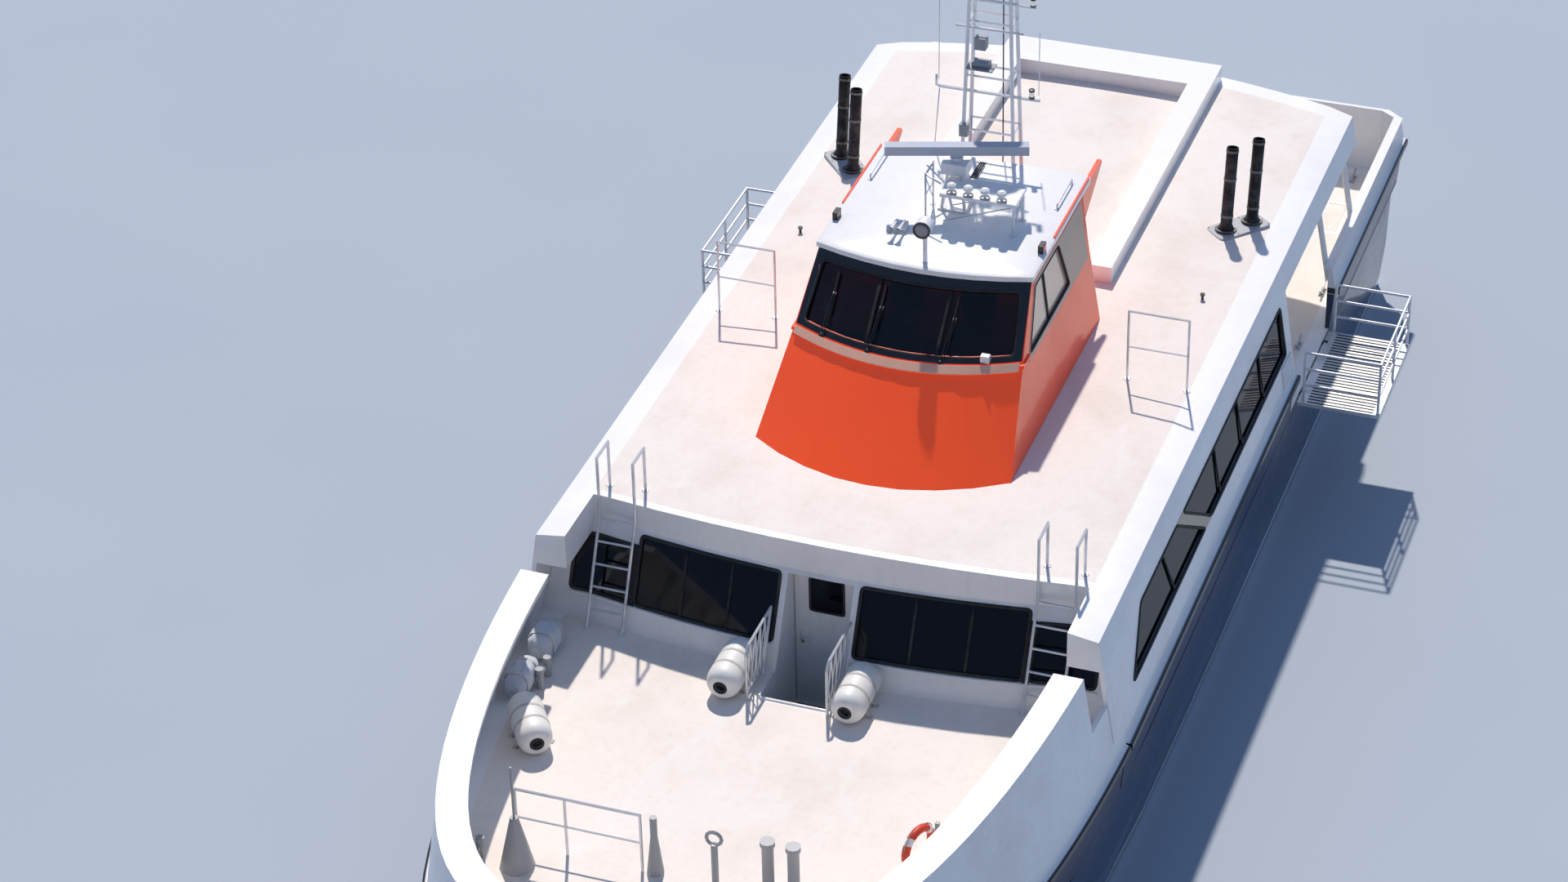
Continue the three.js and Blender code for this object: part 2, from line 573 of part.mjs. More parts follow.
// Roof: cambered top, sloping white side bands, hanging fascia, and wings that run past the front
const camber = 90;
const topZ = (y) => roofZ + camber * (1 - (y / bandInner) ** 2);
const roofNodes = [-1, -0.75, -0.5, -0.25, 0, 0.25, 0.5, 0.75, 1].map((k) => k * bandInner);

const sternLine = (reach, inset) => Array.from({ length: 9 }, (_, i) => -1 + i / 4).map((k) =>
  [-8850 - 480 * (1 - k * k) + inset, k * reach]);
const frontLine = (inset) => bowStations.map((y) => [frontTopX + bowed(y) - inset, -y]);

function roofPlan() {
  const wing = [[wingX, 3900], [wingX, wingInner], [frontTopX, wingInner]];
  return [...sternLine(3900, 0), ...wing, ...frontLine(0), ...mirrorOutline(wing)];
}

// What lies above the roof's top face, for seating fittings on it
function aboveRoof() {
  const line = [...roofNodes.map((y) => [y, topZ(y) + fit])];
  return prism([...line, [bandInner, 9900], [-bandInner, 9900]], "x", -9600, 5000);
}

function makeRoof() {
  const top = [[-roofHalf, roofEdgeZ], ...roofNodes.map((y) => [y, topZ(y)]), [roofHalf, roofEdgeZ]];
  const section = [...top, [3772, fasciaZ], [-3772, fasciaZ]];
  const lip = 70;
  const corner = [[frontTopX - lip, fasciaInner]];
  const inside = [...sternLine(fasciaInner, lip), ...corner, ...frontLine(lip), ...mirrorOutline(corner)];
  const roof = prism(section, "x", -9600, 5000)
    .intersect(prism(roofPlan(), "z", 3000, 5000))
    .subtract(prism(inside, "z", 3000, roofUnder))
    .subtract(box(cabinAftX - fit, roomFore, -4000, 4000, 3000, roofUnder))
    .subtract(box(frontTopX - lip - 50, 4300, -wingInner, wingInner, 3000, frontFasciaZ))
    .subtract(box(-9600, -8700, -fasciaInner, fasciaInner, 3000, sternFasciaZ));
  add("cabin_roof", roof, "deckCream");
}

// U-shaped casing on the roof, round the stern and up both sides
function makeCoaming() {
  const arm = box(-9150, -3100, 1290, 1640, 4200, 4620);
  const back = box(-9150, -8460, -1640, 1640, 4200, 4620);
  add("roof_coaming", join(arm, oneSide(arm, -1), back).intersect(aboveRoof()), "white");
}

// Exhausts: two raked pipes a side, each on a flared foot. Columns: name, x, y
const exhausts = [["inner", -5000, 2770], ["outer", -5340, 3060]];

function makeExhausts() {
  for (const [place, x, y] of exhausts) {
    const lean = new THREE.Vector3(-0.17, 0, 1).normalize().toArray();
    const outside = [[0, 0], [150, 0], [150, 60], [84, 190], [84, 1330], [66, 1330]];
    const tube = turned([...outside, [66, 1180], [0, 1180]], [x, y, 4250], lean, 12);
    for (const [name, side] of sides) {
      add("exhaust_" + place + "_" + name, tube.intersect(aboveRoof()), "exhaustBlack", side);
    }
  }
}

// Wheelhouse outlines, columns: height, half breadth, x of the front corners, x of the front's middle
const wheelLines = [
  [4280, 1753, 2040, 2730],
  [5500, 1555, 850, 1280],
  [6300, 1450, 150, 400],
];
const wheelAftX = -2190;
const wheelRoofZ = 6300;

function wheelRing([z, half, corner, middle], inset, aftX = wheelAftX) {
  const side = [[aftX + inset, half - inset], [corner * 0.5 + aftX * 0.5, half - inset]];
  const nose = Array.from({ length: 9 }, (_, i) => 1 - i / 4).map((k) =>
    [corner + (middle - corner) * (1 - k * k) - inset * (1.4 - 0.2 * k * k), k * (half - inset)]);
  const port = [...side, ...nose.slice(0, 4)];
  return [...port, nose[4], ...mirrorOutline(port)].map(([x, y]) => [x, y, z]);
}

const wheelLayer = (from, to) => {
  const grow = (inset, step) => wheelLines.map((line, i) =>
    wheelRing([line[0] + (i === 0 ? -step : i === 2 ? step : 0), ...line.slice(1)], inset));
  return loft(grow(from, 0)).subtract(loft(grow(to, 5)));
};

const sidePane = [[-1250, 5450], [560, 5450], [60, 6170], [-1000, 6170]];
const windscreenRegion = (grow) => {
  const [low, high] = [5560 - grow, 6190 + grow];
  return prism([[-1440 - grow, low], [1440 + grow, low], [1350 + grow, high], [-1350 - grow, high]],
    "x", 40, 3000);
};
const sideRegion = (grow) => prism(sidePane.map(([x, z]) =>
  [x + (x < -500 ? -grow : grow), z + (z < 5800 ? -grow : grow)]), "y", 1000, 2000);

function makeWheelhouse() {
  const recess = wheelLayer(glassDepth, 75);
  let shell = wheelLayer(0, plate);
  const cuts = [
    windscreenRegion(0),
    windscreenRegion(30).intersect(recess),
    ...[1, -1].flatMap((k) => [oneSide(sideRegion(0), k), oneSide(sideRegion(30).intersect(recess), k)]),
    box(-2300, -2000, 560, 1280, 4440, 6220),
    box(-2300, -2000, -1200, -450, 5400, 6150),
  ];
  shell = shell.subtract(join(...cuts));
  const fin = [[-2200, 5700], [-3150, 6240], [-3110, 6300 - fit], [-2180, 6300 - fit]];
  const fins = [1, -1].map((k) => oneSide(prism(fin, "y", 1392, 1450), k));
  const ledge = frontLedge();
  const whole = join(shell, ...fins, ledge, doorSockets(wheelHinge)).intersect(aboveRoof())
    .subtract(box(-4000, 3000, -2000, 2000, wheelRoofZ - fit, 7000));
  add("wheelhouse", whole, "orange");

  const pane = wheelLayer(paneFront, paneBack);
  add("windscreen", pane.intersect(windscreenRegion(29)), "glass");
  const sideGlass = pane.intersect(sideRegion(29));
  for (const [name, side] of sides) add("wheelhouse_glass_" + name, sideGlass, "glass", side);

  const door = box(-2185, -2145, 568, 1270, 4450, 6210).subtract(box(-2300, -2000, 680, 1150, 5400, 6100));
  add("wheelhouse_door", join(door, doorPin(wheelHinge)), "orange");

  const crown = [[6300, 1480, 190, 440], [6370, 1480, 190, 440], [6400, 1420, 130, 380]];
  const roof = loft(crown.map((line) => wheelRing(line, 0, -2480)));
  const lamp = disc([260, 50, 6960], [1, 0, 0], 115, 190, 12);
  add("wheelhouse_roof", join(roof, bar([300, 50, 6390], [300, 50, 6900], 32), lamp), "white");
}

// Ledge under the windscreen that follows the bowed front
function frontLedge() {
  const low = wheelRing([5440, 1590, 930, 1360], 0);
  const high = wheelRing([5475, 1586, 905, 1335], 0);
  const core = [wheelRing([5400, 1500, 800, 1200], 20), wheelRing([5500, 1500, 800, 1200], 20)];
  return loft([low, high]).subtract(loft(core)).subtract(box(-3000, 600, -2000, 2000, 5000, 6000));
}

// Steering position: console and two chairs on one floor plate
function makeHelm() {
  const floor = box(-900, 1500, -1150, 1150, 4280, 4440);
  const desk = prism([[450, 4430], [450, 5150], [700, 5400], [1050, 5330], [1250, 5100], [1350, 4430]],
    "y", -1100, 1100);
  const chairs = [-500, 500].flatMap((y) => [
    bar([-350, y, 4430], [-350, y, 4900], 60),
    box(-600, -90, y - 260, y + 260, 4890, 5010),
    prism([[-600, 4990], [-480, 4990], [-560, 5750], [-660, 5750]], "y", y - 250, y + 250),
  ]);
  add("helm", join(floor, desk, ...chairs).intersect(aboveRoof()), "rubber");
}

// Passenger seats: rows on a rail along the floor
function makeSeats() {
  const profile = [[0, 2150], [430, 2150], [430, 2260], [110, 2270], [-20, 2960], [-110, 2950], [0, 2270]];
  const rows = Array.from({ length: 7 }, (_, i) => -3500 + i * 900);
  const benches = rows.flatMap((x) => [
    prism(profile.map(([u, z]) => [x + u, z]), "y", 800, 3560),
    box(x + 120, x + 320, 1300, 1400, mainDeck + 30, 2160),
    box(x + 120, x + 320, 2900, 3000, mainDeck + 30, 2160),
  ]);
  const rails = [[1250, 1450], [2850, 3050]].map(([y0, y1]) =>
    box(-3500, 2300, y0, y1, mainDeck + fit, mainDeck + 40));
  const whole = join(...benches, ...rails);
  for (const [name, side] of sides) add("seats_" + name, whole, "seatBlue", side);
}

// Lattice mast just aft of the wheelhouse
function makeMast() {
  const base = { x0: -3000, x1: -2560, half: 425, z: 4300 };
  const top = { x0: -2900, x1: -2660, half: 270, z: 9200 };
  const at = (k, fore, side) => [
    THREE.MathUtils.lerp(fore ? base.x1 : base.x0, fore ? top.x1 : top.x0, k),
    side * THREE.MathUtils.lerp(base.half, top.half, k),
    THREE.MathUtils.lerp(base.z, top.z, k)];
  const pieces = [];
  for (const side of [1, -1]) {
    for (const fore of [true, false]) pieces.push(bar(at(0, fore, side), at(1, fore, side), 28, 5));
  }
  for (let i = 1; i <= 6; i++) {
    const k = i / 6;
    for (const fore of [true, false]) pieces.push(bar(at(k, fore, 1), at(k, fore, -1), 18, 4));
    for (const side of [1, -1]) pieces.push(bar(at(k, true, side), at(k, false, side), 18, 4));
  }
  for (const k of [0.62, 0.9]) {
    const [x, , z] = at(k, true, 1);
    pieces.push(bar([x, -900 + k * 300, z], [x, 900 - k * 300, z], 24, 6));
  }
  pieces.push(disc([-2780, 0, 9190], [0, 0, 1], 330, 25, 12));
  pieces.push(bar([-2780, 0, 9200], [-2780, 0, 9700], 40, 6));
  add("mast", join(...pieces).intersect(aboveRoof()), "white");
}

// Open-array radar on a pedestal over the wheelhouse
const radar = { x: -1210, z: 7150 };

function makeRadar() {
  const foot = box(radar.x - 200, radar.x + 200, -200, 200, 6400 + fit, 6430);
  const legs = [[1, 1], [1, -1], [-1, 1], [-1, -1]].map(([i, j]) =>
    bar([radar.x + i * 160, j * 160, 6415], [radar.x + i * 90, j * 90, 6950], 22, 6));
  const head = box(radar.x - 150, radar.x + 150, -170, 170, 6930, radar.z - 60);
  const neck = disc([radar.x, 0, radar.z - 70], [0, 0, 1], 90, 70 - fit, 12);
  add("radar_pedestal", join(foot, ...legs, head, neck, equipmentShelf()), "white");
  const turn = THREE.MathUtils.degToRad(17.6);
  const outline = [[-75, -950], [75, -950], [75, 950], [-75, 950]].map(([u, v]) =>
    [radar.x + u * Math.cos(turn) - v * Math.sin(turn), u * Math.sin(turn) + v * Math.cos(turn)]);
  const array = prism(outline, "z", radar.z + 40, radar.z + 170);
  const hub = disc([radar.x, 0, radar.z], [0, 0, 1], 80, 60, 12);
  add("radar_scanner", join(array, hub), "white");
}

// Shelf with small antennas beside the radar, held by the pedestal and by two legs of its own
const shelf = { aft: -1150, fore: -650, inner: -60, outer: 980, z: 6880 };

function equipmentShelf() {
  const { aft, fore, inner, outer, z } = shelf;
  const legs = [aft + 40, fore - 40].map((x) => join(
    disc([x, outer - 40, 6400 + fit], [0, 0, 1], 55, 20, 12),
    bar([x, outer - 40, 6410], [x, outer - 40, z], 20, 6)));
  const domes = [0.14, 0.36, 0.58, 0.8].map((k) => {
    const profile = [[0, -10], [22, -10], [22, 90], [65, 90], [60, 130], [30, 150], [0, 150]];
    return turned(profile, [fore - 60, inner + (outer - inner) * k, z], [0, 0, 1], 10);
  });
  return join(box(aft, fore, inner, outer, z - 50, z), ...legs, ...domes);
}

// Ladders up the raked front, whose sides go on as grab rails over the roof's edge
const ladder = { inner: 2680, outer: 3170, foot: 4516, knee: 3885, aft: 3500, kneeZ: 4100, topRailZ: 4980 };

function makeLadders() {
  const { foot, knee, aft, kneeZ, topRailZ } = ladder;
  const at = (z) => foot + ((knee - foot) * (z - foreDeck)) / (kneeZ - foreDeck);
  const rail = (y) => pipe([[at(foreDeck - 50), y, foreDeck - 50], [knee, y, kneeZ], [knee, y, topRailZ],
    [aft, y, topRailZ], [aft, y, roofZ - 50]], 20, 6);
  const rungs = Array.from({ length: 5 }, (_, i) => 2980 + i * 270).map((z) =>
    bar([at(z), ladder.inner, z], [at(z), ladder.outer, z], 16, 6));
  const above = aboveRoof().intersect(box(3000, 3700, 2000, 3400, 4000, 5500));
  const ahead = box(3700, 5000, 2000, 3400, foreDeck + fit, 5500);
  const trimmed = join(rail(ladder.inner), rail(ladder.outer), ...rungs).intersect(join(above, ahead));
  for (const [name, side] of sides) add("ladder_" + name, trimmed, "aluminium", side);
}

// Rail frames that stand across the roof
function makeRoofFrames() {
  const frame = join(
    pipe([[-900, 2480, 4250], [-900, 2480, 5400], [-900, 3300, 5400], [-900, 3300, 4250]], 16, 6),
    bar([-900, 2480, 4850], [-900, 3300, 4850], 12, 6)).intersect(aboveRoof());
  for (const [name, side] of sides) add("roof_rail_" + name, frame, "aluminium", side);
}

// Guard rails along both sides of the stairwell, each a frame with a lattice of crossed bars
const guardY = { port: 385, starboard: -680 };
const guard = { foot: 4745, back: 4375, fore: 5300, top: foreDeck + 780, low: foreDeck + 110 };
const slantFoot = 9; // how far the slanted leg's end face reaches below its middle

function makeStairGuards() {
  const { foot, back, fore, top, low } = guard;
  const cells = 5;
  for (const [name] of sides) {
    const y = guardY[name];
    const frame = pipe([[foot, y, foreDeck + fit + slantFoot], [back, y, top], [fore - 100, y, top],
      [fore, y, top - 100], [fore, y, foreDeck + fit]], 20, 6);
    const lowBack = foot + ((back - foot) * (low - foreDeck)) / (top - foreDeck);
    const along = (t, x0) => x0 + (fore - x0) * t;
    const lattice = Array.from({ length: cells }, (_, i) => [i / cells, (i + 1) / cells]).flatMap(([a, b]) => [
      bar([along(a, lowBack), y, low], [along(b, back), y, top - (b === 1 ? 100 : 0)], 10, 5),
      bar([along(a, back), y, top], [along(b, lowBack), y, low], 10, 5)]);
    const foots = bar([lowBack, y, low], [fore, y, low], 16, 6);
    add("stair_guard_" + name, join(frame, foots, ...lattice), "aluminium");
  }
}

// Fenders stowed on the foredeck. Columns: name, x and y of the foremost end, heading aft (x, y)
const fenderRadius = 230;
const fenders = [
  ["stair_port", 5470, 670, [-1, 0]],
  ["stair_starboard", 5470, -975, [-1, 0]],
  ["bow", 7230, -2720, [-0.83, -0.56]],
];

function makeFenders() {
  const r = fenderRadius;
  const nose = [[0, 0], [70, 0], [80, 50], [170, 100], [r, 190]];
  const profile = [...nose, [r, 740], [170, 840], [80, 900], [0, 900]];
  for (const [name, x, y, [toX, toY]] of fenders) {
    const body = turned(profile, [x, y, foreDeck + r + fit], [toX, toY, 0], 12);
    add("fender_" + name, body, "vinyl");
  }
}

// Bow gate between the bulwarks, hinged to starboard and opening inwards
const bowGate = { x: 11610, thick: 40, top: 3700 };

function makeBowGate() {
  const { x, thick, top } = bowGate;
  const panel = box(x, x + thick, -gateHalf + 30, gateHalf - 10, foreDeck + 30, top);
  add("bow_gate", join(panel, doorPin(gateHinge)), "white");
}

// Rail across the starboard foredeck, windlass, life ring
function makeForedeckGear() {
  const [railX, outer, middle, inner] = [8820, -2320, -1680, -720];
  const z = foreDeck + fit;
  const top = z + 850;
  const rail = join(
    pipe([[railX, outer, z], [railX, outer, top], [railX, inner, top], [railX, inner, z]], 20, 6),
    bar([railX, middle, z], [railX, middle, top], 20, 6),
    bar([railX, outer, z + 430], [railX, inner, z + 430], 14, 6));
  add("foredeck_rail", rail, "aluminium");
  const windlass = join(
    box(9700, 10250, -300, 300, z, z + 60),
    box(9800, 10150, -140, 140, z + 50, z + 380),
    bar([9975, -330, z + 260], [9975, 330, z + 260], 110, 12));
  add("windlass", windlass, "aluminium");
  add("life_ring", solidOf(lifeRing().shape), "ringRed");
}

// Aft bulwarks round the open deck, with the pillars that carry the roof
function makeAftBulwarks() {
  const inner = 3875;
  const section = [[3938, mainDeck + fit], [3985, 2340], [4060, 2360], [4060, 2440], [3990, 2460],
    [sideY(railZ), railZ - 60], [sideY(railZ) + 20, railZ], [inner - 60, railZ], [inner - 60, railZ - 60],
    [inner, railZ - 60], [inner, mainDeck + fit]];
  const side = prism(section, "x", sternX + 250, -6960);
  const back = box(sternX + 60, sternX + 120, 2, 3700, mainDeck + fit, railZ);
  const cornerPlan = [[60, 3600], [120, 3600], [310, inner], [310, 3930], [250, 3930], [60, 3700]];
  const corner = prism(cornerPlan.map(([x, y]) => [sternX + x, y]), "z", mainDeck + fit, railZ);
  const pillars = [-8650, -7100].map((x) => bar([x, 3850, railZ - 300], [x, 3555, roofUnder + 60], 45));
  const whole = join(side, back, corner, ...pillars)
    .subtract(box(-9000, -6000, 3000, 4000, roofUnder - fit, 4500));
  for (const [name, k] of sides) add("aft_bulwark_" + name, whole, "white", k);
}

makeHulls();
makeJets();
makeDecks();
makeHatches();
makeRamps();
makeForedeck();
makeBulwarks();
makeCabinSides();
makeCabinFront();
makeDoors();
makeCabinAft();
makeRoof();
makeCoaming();
makeExhausts();
makeWheelhouse();
makeHelm();
makeSeats();
makeMast();
makeRadar();
makeLadders();
makeRoofFrames();
makeStairGuards();
makeFenders();
makeBowGate();
makeForedeckGear();
makeAftBulwarks();

export default boat;
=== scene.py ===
import json
import math
import bmesh
import bpy
import numpy as np
from mathutils import Matrix, Vector

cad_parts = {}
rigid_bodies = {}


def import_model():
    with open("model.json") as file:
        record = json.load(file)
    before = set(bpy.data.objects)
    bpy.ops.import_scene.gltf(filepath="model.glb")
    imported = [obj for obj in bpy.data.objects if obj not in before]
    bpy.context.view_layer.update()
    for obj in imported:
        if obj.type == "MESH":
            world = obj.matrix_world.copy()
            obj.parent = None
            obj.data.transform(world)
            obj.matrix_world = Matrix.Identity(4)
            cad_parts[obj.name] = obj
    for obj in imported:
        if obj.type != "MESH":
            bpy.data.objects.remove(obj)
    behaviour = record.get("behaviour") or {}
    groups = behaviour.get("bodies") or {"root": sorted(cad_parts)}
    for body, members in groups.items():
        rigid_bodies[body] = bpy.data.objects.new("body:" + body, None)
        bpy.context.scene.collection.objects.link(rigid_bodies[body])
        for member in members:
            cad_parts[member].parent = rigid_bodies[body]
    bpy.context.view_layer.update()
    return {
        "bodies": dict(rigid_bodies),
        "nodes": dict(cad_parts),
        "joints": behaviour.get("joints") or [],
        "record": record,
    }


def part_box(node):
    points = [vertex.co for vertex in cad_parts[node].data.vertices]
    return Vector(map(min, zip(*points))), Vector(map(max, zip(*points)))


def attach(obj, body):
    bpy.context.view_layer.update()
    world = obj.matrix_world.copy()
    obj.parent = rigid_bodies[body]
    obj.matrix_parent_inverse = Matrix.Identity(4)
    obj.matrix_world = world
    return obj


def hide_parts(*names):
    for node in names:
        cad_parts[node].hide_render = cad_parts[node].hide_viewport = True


# A fast passenger catamaran, dressed around its CAD frame. Metres: +X forward, +Y to port, +Z up, and
# the waterline is z = 0.
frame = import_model()
nodes = frame["nodes"]
hands = (("port", 1.0), ("starboard", -1.0))

boat = {
    "narrowX": 3.65,  # from here the plan narrows towards the bow
    "bluntness": 0.29,
    "foreDeck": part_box("foredeck_rail")[0].z,
    "mainDeck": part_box("main_deck")[1].z,
    "roofZ": 4.3,
    "camber": 0.09,
    "bandInner": 3.33,
    "roofFrontX": 3.75,
    "frontBow": 0.31,
    "bowHalf": 3.2,  # half width over which the cabin's front bows
    "wheelRoofZ": 6.4,
}

# The camera stands high ahead of the port bow, as in the photograph
camera = {"place": (42.98, 13.88, 33.85), "yaw": 20.36, "pitch": 33.96, "roll": -1.38, "lens": 93.06}


def makeCamera():
    yaw, pitch, roll = (math.radians(camera[k]) for k in ("yaw", "pitch", "roll"))
    ahead = Vector((-math.cos(yaw) * math.cos(pitch), -math.sin(yaw) * math.cos(pitch), -math.sin(pitch)))
    right = ahead.cross(Vector((0, 0, 1))).normalized()
    up = right.cross(ahead)
    across = math.cos(roll) * right + math.sin(roll) * up
    upright = math.cos(roll) * up - math.sin(roll) * right
    data = bpy.data.cameras.new("camera")
    data.lens = camera["lens"]
    data.sensor_width = 36.0
    data.clip_end = 500.0
    holder = bpy.data.objects.new("camera", data)
    turn = Matrix((across, upright, -ahead)).transposed().to_4x4()
    holder.matrix_world = Matrix.Translation(camera["place"]) @ turn
    bpy.context.scene.collection.objects.link(holder)
    bpy.context.scene.camera = holder


# Shaders

shaderParts = {}


# A shader node group, made once: sockets are (in or out, name, kind, value).
def partOf(name, sockets, build):
    if name in shaderParts:
        return shaderParts[name]
    group = bpy.data.node_groups.new(name, "ShaderNodeTree")
    for way, label, kind, value in sockets:
        socket = group.interface.new_socket(label, in_out=way, socket_type="NodeSocket" + kind)
        if value is not None:
            socket.default_value = value
    ins = group.nodes.new("NodeGroupInput")
    outs = group.nodes.new("NodeGroupOutput")
    build(Wiring(group), ins, outs)
    shaderParts[name] = group
    return group


# Short calls to add and link nodes in a tree.
class Wiring:

    def __init__(self, tree):
        self.tree = tree

    def add(self, kind, settings=None, **inputs):
        node = self.tree.nodes.new("ShaderNode" + kind)
        for key, value in (settings or {}).items():
            setattr(node, key, value)
        for key, value in inputs.items():
            self.feed(node, int(key[1:]) if key[1:].isdigit() and key[0] == "i" else key, value)
        return node

    def feed(self, node, key, value):
        if isinstance(key, str):
            key = key.replace("_", " ")
        socket = node.inputs[key]
        if isinstance(value, bpy.types.NodeSocket):
            self.tree.links.new(value, socket)
        else:
            socket.default_value = value

    def math(self, operation, a, b=0.0, c=0.0, clamp=False):
        settings = {"operation": operation, "use_clamp": clamp}
        return self.add("Math", settings, i0=a, i1=b, i2=c).outputs[0]

    def blend(self, mask, a, b, mode="MIX"):
        settings = {"data_type": "RGBA", "blend_type": mode}
        return self.add("Mix", settings, i0=mask, i6=a, i7=b).outputs[2]

    # 0 below low, 1 above high.
    def step(self, value, low, high, soft=True):
        kind = "SMOOTHSTEP" if soft else "LINEAR"
        return self.add("MapRange", {"interpolation_type": kind}, i0=value, i1=low, i2=high).outputs[0]

    # 1 between low and high.
    def inside(self, value, low, high, edge=0.004):
        return self.math("MULTIPLY", self.step(value, low - edge, low + edge),
                         self.math("SUBTRACT", 1.0, self.step(value, high - edge, high + edge)))

    def xyz(self):
        coordinates = self.add("TexCoord").outputs["Object"]
        return coordinates, self.add("SeparateXYZ", i0=coordinates).outputs

    def noise(self, at, scale, detail=3.0, roughness=0.5, stretch=None):
        if stretch:
            at = self.add("Mapping", i0=at, Scale=stretch).outputs[0]
        node = self.add("TexNoise", Vector=at, Scale=scale, Detail=detail, Roughness=roughness)
        return node.outputs["Fac"]


# Paint colour with large soft stains, fine speckle and vertical run marks on upright faces.
def buildWeather(w, ins, outs):
    at, _ = w.xyz()
    large = w.step(w.noise(at, 0.7, 4.0, 0.6), 0.42, 0.72)
    small = w.step(w.noise(at, 9.0, 5.0, 0.65), 0.45, 0.8)
    runs = w.step(w.noise(at, 3.2, 3.0, 0.6, (6.0, 6.0, 0.35)), 0.5, 0.8)
    normal = w.add("NewGeometry").outputs["Normal"]
    upright = w.math("SUBTRACT", 1.0, w.math("ABSOLUTE", w.add("SeparateXYZ", i0=normal).outputs[2]))
    runs = w.math("MULTIPLY", runs, w.step(upright, 0.5, 0.9))
    dirt = w.math("MULTIPLY", w.math("MAXIMUM", large, runs), 0.6)
    dirt = w.math("ADD", dirt, w.math("MULTIPLY", small, 0.4), clamp=True)
    dirt = w.math("MULTIPLY", dirt, ins.outputs["Amount"])
    w.feed(outs, "Color", w.blend(dirt, ins.outputs["Color"], ins.outputs["Stain"]))
    w.feed(outs, "Dirt", dirt)


weatherSockets = (
    ("INPUT", "Color", "Color", (0.8, 0.8, 0.8, 1.0)),
    ("INPUT", "Stain", "Color", (0.5, 0.5, 0.5, 1.0)),
    ("INPUT", "Amount", "Float", 0.5),
    ("OUTPUT", "Color", "Color", None),
    ("OUTPUT", "Dirt", "Float", None),
)


def weather(w, color, stain, amount):
    node = w.add("Group", {"node_tree": partOf("weather", weatherSockets, buildWeather)})
    for key, value in (("Color", color), ("Stain", stain), ("Amount", amount)):
        w.feed(node, key, value)
    return node.outputs["Color"], node.outputs["Dirt"]


# Height of sharp grains for non-slip paint.
def buildGrit(w, ins, outs):
    at, _ = w.xyz()
    grains = w.add("TexVoronoi", Vector=at, Scale=ins.outputs["Scale"]).outputs["Distance"]
    patches = w.noise(at, 60.0, 4.0, 0.7)
    w.feed(outs, "Height", w.math("ADD", w.math("MULTIPLY", grains, 0.6), w.math("MULTIPLY", patches, 0.4)))


def grit(w, scale):
    sockets = ("INPUT", "Scale", "Float", 180.0), ("OUTPUT", "Height", "Float", None)
    group = partOf("grit", sockets, buildGrit)
    node = w.add("Group", {"node_tree": group})
    w.feed(node, "Scale", scale)
    return node.outputs["Height"]


# Height of welded plating: soft hollows between frames set at even distances along x.
def buildDents(w, ins, outs):
    at, (x, y, z) = w.xyz()
    bay = w.math("SINE", w.math("MULTIPLY", x, w.math("DIVIDE", 2 * math.pi, ins.outputs["Spacing"])))
    slow = w.noise(at, 0.9, 2.0, 0.5)
    w.feed(outs, "Height", w.math("ADD", w.math("MULTIPLY", bay, 0.3), slow))


def dents(w, spacing):
    sockets = ("INPUT", "Spacing", "Float", 0.8), ("OUTPUT", "Height", "Float", None)
    group = partOf("dents", sockets, buildDents)
    node = w.add("Group", {"node_tree": group})
    w.feed(node, "Spacing", spacing)
    return node.outputs["Height"]


# A colour as painted, from six hexadecimal digits to linear values.
def rgb(code):
    parts = (int(code[i:i + 2], 16) / 255.0 for i in (0, 2, 4))
    return tuple(p / 12.92 if p <= 0.04045 else ((p + 0.055) / 1.055) ** 2.4 for p in parts) + (1.0,)


paints = {
    "white": rgb("f7f6f4"), "whiteStain": rgb("cfcac2"), "cream": rgb("f3eae1"), "creamStain": rgb("e0d3c5"),
    "navy": rgb("14264a"), "navyStain": rgb("2c3d5c"), "orange": rgb("ff5a20"), "orangeStain": rgb("ee4c1a"),
    "teal": rgb("2d8fae"), "black": rgb("141416"), "rubber": rgb("1f2023"), "antifoul": rgb("22262c"),
    "beige": rgb("dcd3bd"), "aluminium": rgb("c4c8cc"), "grime": rgb("6c6a66"), "soot": rgb("0d0c0c"),
    "glass": rgb("060a12"), "seat": rgb("22365f"), "ring": rgb("dc4329"), "vinyl": rgb("f1f0ea"),
    "engine": rgb("6f777b"), "red": rgb("c81e1e"), "green": rgb("1c9a4b"), "lamp": rgb("f7f5ea"),
    "deckGrey": rgb("aeb2b5"), "rope": rgb("d9d2bf"), "gearGrey": rgb("9a9ea2"), "blind": rgb("cbb59d"),
    # The blue-grey scanner colour is white paint as it looks in shade: painted shade
    # The pale peach colour stands in for the sunlit top of the orange ledge: a painted highlight
    "canvas": rgb("cdd3da"), "ledgeHighlight": rgb("ffc4a4"), "rail": rgb("e2e4e6"), "scanner": rgb("b4bccb"),
    "canvasFold": rgb("8f9cb0"),
}

materials = {}


# A material made once. build gets the wiring and the Principled node.
def material(name, build):
    if name not in materials:
        made = bpy.data.materials.new(name)
        made.use_nodes = True
        build(Wiring(made.node_tree), made.node_tree.nodes["Principled BSDF"])
        materials[name] = made
    return materials[name]


def bump(w, shader, height, strength, distance):
    node = w.add("Bump", Strength=strength, Distance=distance, Height=height)
    w.feed(shader, "Normal", node.outputs[0])


# Gloss paint on welded plating, stained and a little uneven.
def paint(color, stain, amount=0.5, rough=0.32, coat=0.4, spacing=0.8):
    def build(w, shader):
        tint, dirt = weather(w, paints[color], paints[stain], amount)
        w.feed(shader, "Base Color", tint)
        w.feed(shader, "Roughness", w.math("ADD", w.math("MULTIPLY", dirt, 0.35), rough))
        w.feed(shader, "Coat Weight", coat)
        w.feed(shader, "Coat Roughness", 0.12)
        bump(w, shader, dents(w, spacing), 0.25, 0.01)
    return build


